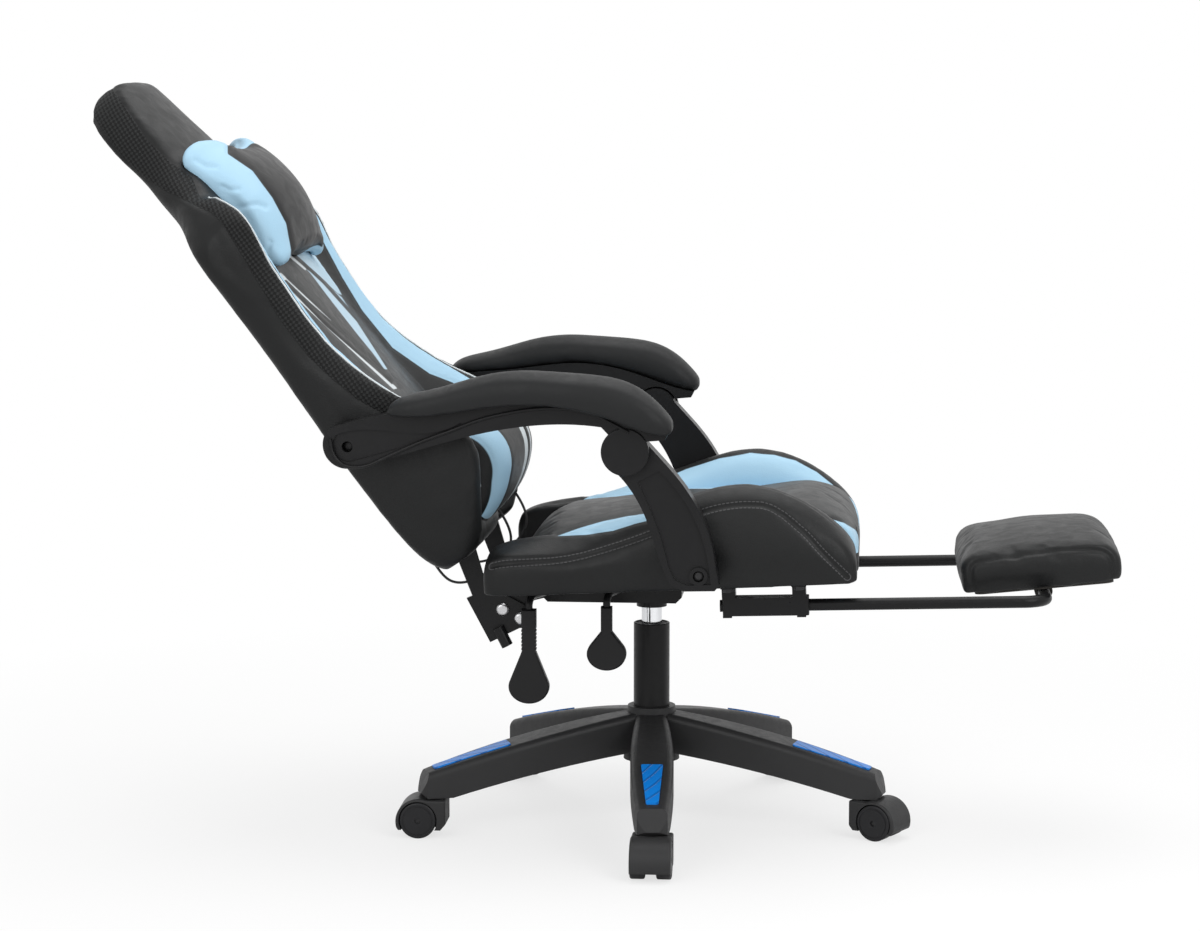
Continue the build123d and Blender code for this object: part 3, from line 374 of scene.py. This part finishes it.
def in_picture(co, side=0):
    """Where points fall in the picture; a side of -1 or 1 first folds them all onto that half."""
    view = np.array(Euler(camera_turn).to_matrix())
    spots = np.array(co)
    if side:
        spots[:, 1] = side * abs(spots[:, 1])
    local = (spots - camera_place) @ view
    scale = picture_wide * camera_lens / camera_film / -local[:, 2]
    return np.stack([picture_wide / 2 + scale * local[:, 0], picture_high / 2 - scale * local[:, 1]], 1)


def drawn(spots, corners):
    """Depth inside an outline drawn in the picture, in metres at the chair."""
    return inside(spots, corners) * pixel


def crease(piece, lines, depth, width):
    """Draw the cover in along lines drawn in the picture, the same on both sides."""
    co, way, seen = points(piece), outward(piece), in_picture(points(piece), -1)
    for line in lines:
        away = from_line(seen, np.array(line, float))[0] * pixel
        co -= way * (depth * np.exp(-(away / width) ** 2))[:, None]
    move_to(piece, co)


def piping(name, lines, thick, material, body):
    """Thin corded edge sewn into a seam."""
    curve = bpy.data.curves.new(name, "CURVE")
    curve.dimensions = "3D"
    curve.bevel_depth = thick
    curve.bevel_resolution = 3
    for line in lines:
        run = curve.splines.new("POLY")
        run.points.add(len(line) - 1)
        for spot, at in zip(run.points, line):
            spot.co = (*at, 1)
    curve.materials.append(material)
    piece = bpy.data.objects.new(name, curve)
    scene.collection.objects.link(piece)
    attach(piece, body)
    return piece


def marked(tree, name):
    """Number that a mark gives at each point of the mesh."""
    return put(tree, "Attribute", attribute_name=name).outputs["Fac"]


edge_blur = 0.0005
knit_pitch = 0.0105
stitch_away, stitch_half, stitch_pitch, stitch_long = 0.0045, 0.0006, 0.0055, 0.0038


def leather(name, ground, panels=(), mesh_band=False, stitches=False):
    """Grained synthetic leather, its coloured panels cut by marks on the mesh."""
    material, tree, shader = begin(name, Specular_IOR_Level=0.24)
    place = place_of(tree)
    drift = noise(tree, place, 12.0, 4.0)
    grain = put(tree, "TexVoronoi", {"Vector": place, "Scale": 620.0}, feature="SMOOTH_F1")
    creases = noise(tree, place, 45.0, 5.0, 0.8)
    tone = between(tree, drift, [c * 0.82 for c in ground], [c * 1.18 for c in ground])
    for mark_name, colour in panels:
        cut = stretch(tree, marked(tree, mark_name), -edge_blur, edge_blur)
        tone = between(tree, cut, tone, between(tree, drift, [c * 0.94 for c in colour], colour))
    height = sum_of(tree, (grain.outputs["Distance"], 0.5), (creases, 1.2))
    gloss = stretch(tree, creases, 0.3, 0.7, 0.39, 0.52)
    if mesh_band:
        along, across = marked(tree, "band_run"), marked(tree, "band_rise")
        waves = []
        for sign in (1.0, -1.0):
            slanting = sum_of(tree, (along, 1.0), (across, sign))
            waves.append(figure(tree, "SINE", sum_of(tree, (slanting, 2 * pi / knit_pitch))))
        hole = stretch(tree, figure(tree, "MULTIPLY", *waves), -0.35, 0.35)
        band = stretch(tree, marked(tree, "band"), -edge_blur, edge_blur)
        yarn = between(tree, hole, (0.0015, 0.0015, 0.0016), (0.017, 0.018, 0.018))
        tone = between(tree, band, tone, yarn)
        height = put(tree, "Mix", {0: band, 2: height, 3: sum_of(tree, (hole, 5.0))}).outputs[0]
        gloss = put(tree, "Mix", {0: band, 2: gloss, 3: 0.7}).outputs[0]
    if stitches:
        near = figure(tree, "COMPARE", marked(tree, "stitch"), stitch_away, stitch_half)
        along_stitch = figure(tree, "FLOORED_MODULO", marked(tree, "stitch_run"), stitch_pitch)
        thread = figure(tree, "MULTIPLY", near, figure(tree, "LESS_THAN", along_stitch, stitch_long))
        tone = between(tree, thread, tone, (0.06, 0.06, 0.062))
        height = sum_of(tree, (height, 1.0), (thread, 2.5))
    feed(tree, shader, Base_Color=tone, Roughness=gloss, Normal=bump(tree, height, 0.55, 0.0006))
    return material


def upholster(piece, material, body):
    """Finish of a padded piece, and the body it rides on."""
    piece.data.materials.append(material)
    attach(piece, body)


seat_tilt, seat_height = radians(2.9), 359


def seat_spot(p, y, q):
    """Point of the seat's tilted frame, in millimetres, as a place in metres."""
    x = p * cos(seat_tilt) - q * sin(seat_tilt)
    z = seat_height + p * sin(seat_tilt) + q * cos(seat_tilt)
    return np.stack([x, y, z], -1) / 1000


def seat_frame_of(co):
    """Metres to the seat's own p, y and q in millimetres."""
    x, z = co[:, 0] * 1000, co[:, 2] * 1000 - seat_height
    return x * cos(seat_tilt) + z * sin(seat_tilt), co[:, 1] * 1000, z * cos(seat_tilt) - x * sin(seat_tilt)


black = (0.0062, 0.0066, 0.0068)
# Black leather lightened to grey: painted sheen of the overhead light, used where the leather faces up.
sheen_lit_black = (0.026, 0.027, 0.0272)
light_blue = (0.39, 0.61, 0.77)
no_panel = -0.01
seat_cushion = cover("seat_cushion_skin", 0.006, "seat_cushion")
p, y, q = seat_frame_of(points(seat_cushion))
relax(seat_cushion, 4, ramp(q, 22, 14))
p, y, q = seat_frame_of(points(seat_cushion))
fall = 14 * ramp(p, 40, -130) ** 1.2 + 34 * ramp(p, -125, -175) ** 1.5
move_to(seat_cushion, seat_spot(p, y, q - fall * ramp(q, 25, 65)))
swell(seat_cushion, 0.006, ramp(q, 40, 65) * ramp(abs(y), 164, 150))
finer(seat_cushion)
# The stripe has its outline in the picture, and fills the strip between the cushion and the bolster.
seat_stripe = [(557, 535), (580, 527), (603, 520), (627, 515), (650, 512), (700, 509), (760, 510), (798, 514),
               (822, 516), (845, 522), (856, 529), (866, 540), (876, 560), (872, 590), (846, 590), (850, 560),
               (850, 540), (845, 532), (803, 522), (790, 600), (700, 600), (652, 519), (635, 523), (613, 530),
               (585, 534)]
strip_inner, strip_rear, strip_front = 140, -62, 215
p, y, q = seat_frame_of(points(seat_cushion))
stripe = drawn(in_picture(points(seat_cushion), -1), seat_stripe)
strip = np.min([abs(y) - strip_inner, p - strip_rear, strip_front - p], 0) / 1000
on_top = (q > 30) & (abs(y) > 60)
mark(seat_cushion, "blue", np.where(on_top, np.maximum(stripe, strip), no_panel), 0.0018)
# The cushion's ground is the black leather lightened to grey, a painted sheen from the light above.
upholster(seat_cushion, leather("seat_leather", sheen_lit_black, [("blue", light_blue)]), "seat")

# Seat bolsters: firm foam wings beside the cushion, black outside with an arched seam and a row of
# stitches, light blue inside below a black top.
hands = (("right", -1), ("left", 1))
arch = [(-200, 47), (-109, 51), (-43, 64), (19, 82), (70, 103), (117, 115), (165, 116), (190, 104), (219, 76),
        (244, 45), (277, 9)]
bolster_blue = [(-125, 50), (-75, 66), (-40, 80), (40, 110.5), (90, 125), (135, 131.5), (170, 127),
                (200, 117.5), (230, 100), (252, 82), (262, 68), (266, 50), (266, 0), (-125, 0)]
seam_aside, blue_aside, rear_crown = 252, 214, 56
for hand, side in hands:
    bolster = cover(f"seat_bolster_{hand}_skin", 0.005, f"seat_bolster_{hand}")
    p, y, q = seat_frame_of(points(bolster))
    relax(bolster, 5, ramp(q, 12, 6))
    p, y, q = seat_frame_of(points(bolster))
    rise = np.maximum(q - rear_crown, 0) * (1 - 0.5 * ramp(p, -40, -150))
    move_to(bolster, seat_spot(p, y, np.minimum(q, rear_crown) + rise))
    p, y, q = seat_frame_of(points(bolster))
    swell(bolster, 0.004, ramp(q, 20, 40) * ramp(abs(y), 172, 184))
    finer(bolster)
    seam = on_skin(bolster, flowing([seat_spot(a, side * seam_aside, b) for a, b in arch], 90))[0]
    sew(bolster, [seam], 0.0026, 0.0034)
    away, run = from_line(points(bolster), seam)
    mark(bolster, "stitch", away)
    mark(bolster, "stitch_run", run)
    p, y, q = seat_frame_of(points(bolster))
    face = inside(np.stack([p, q], 1) / 1000, np.array(bolster_blue) / 1000)
    face = np.minimum(face, (blue_aside - abs(y)) / 1000)
    at_rear = (p < 20) & (q > 50)
    rear_stripe = np.where(at_rear, drawn(in_picture(points(bolster), -1), seat_stripe), no_panel)
    mark(bolster, "blue", np.maximum(face, rear_stripe), 0.0015)
    cover_leather = leather(f"bolster_leather_{hand}", black, [("blue", light_blue)], stitches=True)
    upholster(bolster, cover_leather, "seat")

# Recline brackets: black painted plates with stop studs, bolted to the seat on both sides, and the
# bright dome bolts that hold them.
dress(paint, "recline_brackets")
dress(steel, "recline_bolts")


# Back: the long centre panel with its rounded head and a wing on each side, foam on the frame under one
# cover of black leather. The wings are light blue inside, and a band of knitted mesh runs along their edge.
back_foot, back_lean = (-250, 415), radians(36)


def back_spot(u, y, w):
    """Point of the leaning back's frame, in millimetres, as a place in metres."""
    x = back_foot[0] + u * cos(back_lean) - w * sin(back_lean)
    z = back_foot[1] + u * sin(back_lean) + w * cos(back_lean)
    return np.stack([x, y, z], -1) / 1000


def back_frame_of(co):
    """Metres to the back's own u, y and w in millimetres."""
    x, z = co[:, 0] * 1000 - back_foot[0], co[:, 2] * 1000 - back_foot[1]
    return x * cos(back_lean) + z * sin(back_lean), co[:, 1] * 1000, z * cos(back_lean) - x * sin(back_lean)


dress(paint, "back_frame")
white = (0.66, 0.71, 0.73)
back = cover("back_skin", 0.007, "back_panel", "back_wing_right", "back_wing_left")
relax(back, 4)
# The step between wing and head is spread out to one sloping shoulder.
u, y, w = back_frame_of(points(back))
wing_top, centre = 522, 90
half = np.interp(w, [wing_top, 550, 569, 575, 605, 640, 665], [250, 226, 203, 164, 156, 151, 148])
wide = np.interp(w, [wing_top, 550, 575, 600, 625, 645, 665], [250, 231, 211, 189, 168, 155, 148])
spread = centre + (abs(y) - centre) * (wide - centre) / (half - centre)
spread = np.where((w > wing_top) & (abs(y) > centre), spread, abs(y))
move_to(back, back_spot(u, np.sign(y) * np.minimum(spread, wide + 4), w))
# The head leans back a little, most at its rear, and its top is drawn up.
u, y, w = back_frame_of(points(back))
u = u - (10 + 14 * ramp(u, -10, -50)) * ramp(w, 540, 740)
w = w + 8 * ramp(w, 690, 760)
move_to(back, back_spot(u, y, w))
shoulder = np.exp(-((w - 590) / 60) ** 4) * ramp(abs(y), 80, 110)
relax(back, 40, 1 - shoulder)
u, y, w = back_frame_of(points(back))
swell(back, 0.005, ramp(u, -20, 0) * ramp(w, 20, 50))
finer(back)
# Each row is a height on the wing, its reach to the side and its front edge. The seam follows the crest.
wing_rows = [(-25, 206, 26), (-5, 222, 46), (40, 243, 84), (98, 257, 114), (150, 262, 98), (200, 262, 72),
             (250, 258, 50), (320, 251, 31), (400, 253, 29), (450, 259, 34), (490, 262, 44), (522, 250, 42),
             (550, 226, 30), (572, 200, 14), (600, 186, 8), (625, 166, 5), (660, 149, 0), (715, 136, -6),
             (748, 110, -12), (763, 78, -16)]
crest_inset = 20
crest = [back_spot(front, crest_inset - reach, at) for at, reach, front in wing_rows[2:14]]
edges = [on_skin(back, flowing([spot * (1, side, 1) for spot in crest], 90))[0] for side in (1, -1)]
sew(back, edges, 0.0016, 0.003)
# The mesh band runs from the head down the wings' outer edge, as its outline in the picture shows.
band_outline = [(90, 112), (88, 100), (92, 86), (105, 79), (115, 93), (127, 110), (147, 140), (170, 162),
                (183, 170), (202, 185), (223, 198), (247, 220), (267, 252), (280, 277), (297, 307),
                (320, 337), (347, 363), (380, 385), (402, 394), (440, 415), (440, 432), (388, 416),
                (357, 399), (332, 379), (309, 357), (282, 323), (258, 283), (237, 247), (222, 223),
                (210, 212), (190, 202), (167, 192), (143, 177), (123, 158), (107, 137)]
co = points(back)
u, y, w = back_frame_of(co)
reach = np.interp(w, [row[0] for row in wing_rows], [row[1] for row in wing_rows])
outer = abs(y) - reach + np.interp(w, [570, 640], [19, 40])
mark(back, "band", np.minimum(drawn(in_picture(co, -1), band_outline), outer / 1000), 0.0012)
mark(back, "band_run", w / 1000)
mark(back, "band_rise", u / 1000)
# Light blue inside each wing, cut as the far wing shows it in the picture.
far_wing = [(290, 175), (327, 247), (343, 277), (363, 310), (393, 347), (430, 373), (453, 382), (540, 440),
            (600, 400), (440, 290), (370, 170)]
wing_face = np.min([reach - 27 - abs(y), w - 60, 575 - w, u + 4, abs(y) - 120], 0) / 1000
mark(back, "blue", np.minimum(wing_face, drawn(in_picture(co, 1), far_wing)), 0.0014)
# Slanting stripes across the panel, drawn as they are seen, from the head pillow down to the armrest.
blue_stripes = [[(294, 252), (313, 250), (324, 263), (342, 295), (338, 293), (315, 271)],
                [(307, 268), (322, 280), (342, 297), (358, 320), (375, 347), (388, 369), (385, 369),
                 (372, 352), (358, 335), (340, 312), (323, 290)]]
white_stripes = [[(289, 256), (291, 254), (308, 268), (306, 270)],
                 [(279, 274), (281, 272), (332, 320)],
                 [(291, 292), (294, 290), (330, 322), (366, 355), (398, 388), (394, 389), (362, 359),
                  (326, 325)]]
black_stripes = [[(291, 253), (294, 252), (326, 281), (359, 318), (403, 388), (401, 389), (357, 321),
                  (323, 283)],
                 [(283, 281), (287, 279), (330, 320), (395, 378), (393, 384), (326, 325)]]
panel_half = 169
on_panel = (abs(y) < panel_half) & (u > 0) & (w < 470) & (w > 150)
seen = in_picture(co)
for name, outlines, depth in (("stripe_blue", blue_stripes, 0.0), ("stripe_white", white_stripes, 0.0008),
                              ("stripe_black", black_stripes, 0.0008)):
    stripe = np.max([drawn(seen, line) for line in outlines], 0)
    mark(back, name, np.where(on_panel, stripe, no_panel), depth)
# The centre panel's front face is marked for the black leather lightened to grey, a painted sheen from the
# lamps.
mark(back, "front", np.min([panel_half - abs(y), u - 2, 480 - w], 0) / 1000)
panel_colours = [("front", sheen_lit_black), ("blue", light_blue), ("stripe_blue", (0.46, 0.62, 0.73)),
                 ("stripe_white", white), ("stripe_black", black)]
upholster(back, leather("back_leather", black, panel_colours, mesh_band=True), "back")

# Wing piping: a thin pale corded edge sewn in along each wing's front crest.
# It stands a little proud of the seam that holds it.
pale_piping, tree, shader = begin("pale_piping", Roughness=0.5, Base_Color=(*white, 1))
for hand, edge in zip(("right", "left"), edges):
    spots, way = on_skin(back, edge)
    piping(f"wing_piping_{hand}", [spots + way * 0.0006], 0.0015, pale_piping, "back")

# Headrest pillow: a stuffed crescent with light blue ends round a black middle, tied behind the head.
# Its corners are drawn out to soft points, and its ends fall back round the head.
pillow_middle, pillow_back = 540, 16


def fall_back(y, w):
    """How far the pillow lies back at a place, most at the top of its ends."""
    return (12 + 18 * ramp(w, pillow_middle, 620)) * ramp(abs(y), 95, 145) ** 2


head_pillow = cover("headrest_pillow_skin", 0.005, "headrest_pillow")
relax(head_pillow, 3)
u, y, w = back_frame_of(points(head_pillow))
end = ramp(abs(y), 95, 145) ** 2
lower = np.minimum(w - pillow_middle, 0) * 0.10 * end
upper = (4 * end + 6 * (1 - end)) * ramp(w, pillow_middle, 620)
flat = pillow_back + (u - pillow_back) * 0.82
move_to(head_pillow, back_spot(flat - fall_back(y, w), y * (1 + 0.03 * end), w - 7 + lower + upper))
swell(head_pillow, 0.006, ramp(u, 20, 32))
finer(head_pillow)
pillow_end = [(228, 120), (228, 153), (253, 170), (273, 197), (287, 223), (292, 250), (290, 330), (100, 330),
              (100, 100)]
u, y, w = back_frame_of(points(head_pillow))
in_front = (u + fall_back(y, w) - 19) / 1000
ends = np.minimum(drawn(in_picture(points(head_pillow), -1), pillow_end), in_front)
mark(head_pillow, "blue", ends, 0.0016)
pillow_creases = [[(238, 208), (250, 205), (258, 204), (266, 207)], [(222, 186), (230, 190), (238, 189)],
                  [(268, 250), (271, 242)], [(196, 160), (206, 166), (216, 167)]]
crease(head_pillow, pillow_creases, 0.0022, 0.0036)
pillow_leather = leather("pillow_leather", (0.016, 0.016, 0.0165), [("blue", light_blue)])
upholster(head_pillow, pillow_leather, "back")

# Lumbar pillow: stuffed full, in upright stripes of black, light blue, dark grey and white.
# Each stripe's edge is where the picture's level row crosses it, by its column there.
pillow_rear = 44
level_row, row_half = 465, 6
stripe_columns = (("blue", 493, 1.0), ("grey", 512, 1.0), ("white", 524, 1.0), ("middle", 524, 0.35))
lumbar_pillow = cover("lumbar_pillow_skin", 0.005, "lumbar_pillow")
relax(lumbar_pillow, 3)
u, y, w = back_frame_of(points(lumbar_pillow))
swell(lumbar_pillow, 0.006, ramp(u, pillow_rear, 64) * ramp(w, -4, 21))
finer(lumbar_pillow)
u, y, w = back_frame_of(points(lumbar_pillow))
seen = in_picture(points(lumbar_pillow), -1)
level = (abs(seen[:, 1] - level_row) < row_half) & (u > pillow_rear)
order = np.argsort(seen[level, 0])
for name, column, share in stripe_columns:
    edge = np.interp(column, seen[level, 0][order], abs(y[level])[order]) * share
    mark(lumbar_pillow, name, np.minimum(edge - abs(y), u - pillow_rear) / 1000, 0.0012)
stripe_colours = [("blue", light_blue), ("grey", (0.05, 0.05, 0.05)), ("white", white), ("middle", black)]
upholster(lumbar_pillow, leather("lumbar_leather", black, stripe_colours), "back")

# Lumbar cords: round black elastic from the pillow's lower edge, hanging in a loop to the back's rear.
# The braid shows as fine slanting ribs.
cord_route = [(58, -2.4), (57, -34), (36, -57), (-8, -64), (-46, -55), (-61, -31), (-56.2, 4)]
cord_aside, cord_thick = 95, 0.0036
elastic, tree, shader = begin("elastic", Roughness=0.75)
weave = put(tree, "TexWave", {"Vector": place_of(tree), "Scale": 900.0, "Distortion": 1.0},
            bands_direction="DIAGONAL").outputs["Fac"]
feed(tree, shader, Base_Color=between(tree, weave, (0.008, 0.008, 0.008), (0.03, 0.03, 0.031)))
for hand, side in hands:
    curve = bpy.data.curves.new(f"lumbar_cord_{hand}", "CURVE")
    curve.dimensions = "3D"
    curve.bevel_depth = cord_thick / 2
    curve.bevel_resolution = 3
    curve.use_fill_caps = True
    places = [back_spot(a, side * cord_aside, b) for a, b in cord_route]
    run = curve.splines.new("NURBS")
    run.points.add(len(places) - 1)
    for spot, place in zip(run.points, places):
        spot.co = (*place, 1)
    run.order_u = 3
    run.use_endpoint_u = True
    run.resolution_u = 12
    curve.materials.append(elastic)
    cord = bpy.data.objects.new(f"lumbar_cord_{hand}", curve)
    scene.collection.objects.link(cord)
    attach(cord, "back")
    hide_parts("lumbar_cords")

# Armrests: hollow black plastic arms on bolts at the seat and the back, turning on each other at the elbow.
# The plastic is finely grained, and the bolts are dull steel.
arm_plastic = moulded("arm_plastic", (0.005, 0.005, 0.0055), (0.009, 0.009, 0.0095), 0.36, 1100.0, 0.00016)
for hand, _ in hands:
    dress(arm_plastic, f"lower_arm_{hand}", f"upper_arm_{hand}")
dress(moulded("arm_bolt_steel", (0.02, 0.02, 0.021), (0.035, 0.035, 0.036), 0.4, 400.0, 0.00005),
      "arm_bolts_seat", "arm_bolts_back")

# Arm rims: the rounded bead of the moulding along each upper arm's outer side.
# Its line is in millimetres, along the arm from its rear end to its front.
rim_line = [(-396, 566), (-391, 545), (-376, 531), (-350, 531), (-318, 545), (-278, 563), (-241, 577),
            (-196, 594), (-139, 606), (-95, 608), (-55, 601), (-31, 590), (-8, 578)]
for hand, side in hands:
    outer_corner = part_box(f"upper_arm_{hand}")[0 if side < 0 else 1]
    line = flowing([(x / 1000, outer_corner[1], z / 1000) for x, z in rim_line], 80)
    piping(f"arm_rim_{hand}", [line], 0.0022, arm_plastic, f"upper_arm_{hand}")

# Arm pads: soft foam with a moulded skin, crowned on top, seated on the upper arms.
# The skin is matt, with a fine grain.
pad_skin = moulded("pad_skin", (0.009, 0.0095, 0.010), (0.014, 0.0145, 0.015), 0.5, 800.0, 0.00016)
for hand, _ in hands:
    pad = cover(f"arm_pad_{hand}_skin", 0.004, f"arm_pad_{hand}")
    relax(pad, 4)
    finer(pad)
    upholster(pad, pad_skin, f"upper_arm_{hand}")

# Footrest: a bent steel tube in black paint that slides in two brackets, with a ply board on its cross bar.
# The board is stained dark and carries the pad.
dress(coat, "footrest_rail")
dress(paint, "footrest_brackets")
dress(moulded("ply_board", (0.02, 0.018, 0.016), (0.03, 0.028, 0.025), 0.6, 300.0, 0.0002), "footrest_board")

# Footrest pad: a crowned foam block in black leather, its top sewn to the side band.
# The seam goes over the pad's ends, front to rear, in the pad's own tilted frame.
hinge, pad_tilt = np.array([0.534, 0, 0.347]), radians(6)
pad_axes = np.array([[cos(pad_tilt), 0, sin(pad_tilt)], [0, 1, 0], [-sin(pad_tilt), 0, cos(pad_tilt)]])
pad_middle, fuller = (0, 0, 0.036), (1.08, 1.0, 1.12)
pad_loop = [(-92, 16), (-96, 36), (-90, 52), (-60, 57), (-20, 60), (20, 61), (60, 58), (84, 51), (91, 38),
            (90, 18)]
pad_seam_aside = 148
foot_pad = cover("footrest_pad_skin", 0.005, "footrest_pad")
relax(foot_pad, 3)
local = (points(foot_pad) - hinge) @ pad_axes.T
move_to(foot_pad, ((local - pad_middle) * fuller + pad_middle) @ pad_axes + hinge)
swell(foot_pad, 0.004, np.ones(len(foot_pad.data.vertices)))
finer(foot_pad)
foot_seams = []
for side in (-1, 1):
    loop = [hinge + np.array([a, side * pad_seam_aside, b]) @ pad_axes / 1000 for a, b in pad_loop]
    foot_seams.append(on_skin(foot_pad, flowing(loop, 90))[0])
sew(foot_pad, foot_seams, 0.0026, 0.0028)
upholster(foot_pad, leather("plain_leather", black), "footrest_pad")

# Studio: a pale floor that keeps the shadow, soft lamps above and beside, and the camera of the picture.
# The floor fades to white away from the chair, and the world behind it is white.
floor_mesh = bpy.data.meshes.new("studio_floor")
sheet = bmesh.new()
bmesh.ops.create_grid(sheet, x_segments=1, y_segments=1, size=14)
sheet.to_mesh(floor_mesh)
sheet.free()
floor = bpy.data.objects.new("studio_floor", floor_mesh)
scene.collection.objects.link(floor)
pale, tree, shader = begin("pale_floor", Roughness=0.9, Base_Color=(0.9, 0.9, 0.9, 1))
rays = put(tree, "LightPath").outputs
seen = figure(tree, "MULTIPLY", rays["Is Camera Ray"], stretch(tree, distance(tree), 0.5, 1.7, 0.7, 1.0))
glow = put(tree, "Emission", {"Color": (1, 1, 1, 1), "Strength": 1.0}).outputs[0]
mixed = put(tree, "MixShader", {0: seen, 1: shader.outputs[0], 2: glow}).outputs[0]
tree.links.new(mixed, tree.nodes["Material Output"].inputs["Surface"])
floor_mesh.materials.append(pale)

world = bpy.data.worlds.new("studio_world")
scene.world = world
world.use_nodes = True
tree = world.node_tree
rays = put(tree, "LightPath").outputs
mirrored = figure(tree, "MAXIMUM", rays["Is Camera Ray"], rays["Is Glossy Ray"])
plain_rays = figure(tree, "MAXIMUM", mirrored, rays["Is Transmission Ray"])
strength = put(tree, "Mix", {0: plain_rays, 2: 0.55, 3: 1.0}).outputs[0]
tree.links.new(strength, tree.nodes["Background"].inputs["Strength"])
tree.nodes["Background"].inputs["Color"].default_value = (1, 1, 1, 1)

for name, place, aim, size, power in (("top_lamp", (0.3, 0.3, 3.2), (0, 0, 0.5), 2.8, 52),
                                      ("front_lamp", (2.2, -2.6, 2.2), (-0.1, 0, 0.5), 1.8, 44),
                                      ("side_lamp", (-1.6, -3.2, 1.8), (-0.2, 0, 0.5), 2.0, 33)):
    lamp = bpy.data.lights.new(name, "AREA")
    lamp.energy = power
    lamp.size = size
    stand = bpy.data.objects.new(name, lamp)
    stand.location = place
    stand.rotation_euler = (Vector(aim) - Vector(place)).to_track_quat("-Z", "Y").to_euler()
    scene.collection.objects.link(stand)

camera = bpy.data.objects.new("picture_camera", bpy.data.cameras.new("picture_camera"))
camera.location = camera_place
camera.rotation_euler = camera_turn
camera.data.lens = camera_lens
camera.data.sensor_width = camera_film
scene.collection.objects.link(camera)
scene.camera = camera
scene.view_settings.view_transform = "Standard"
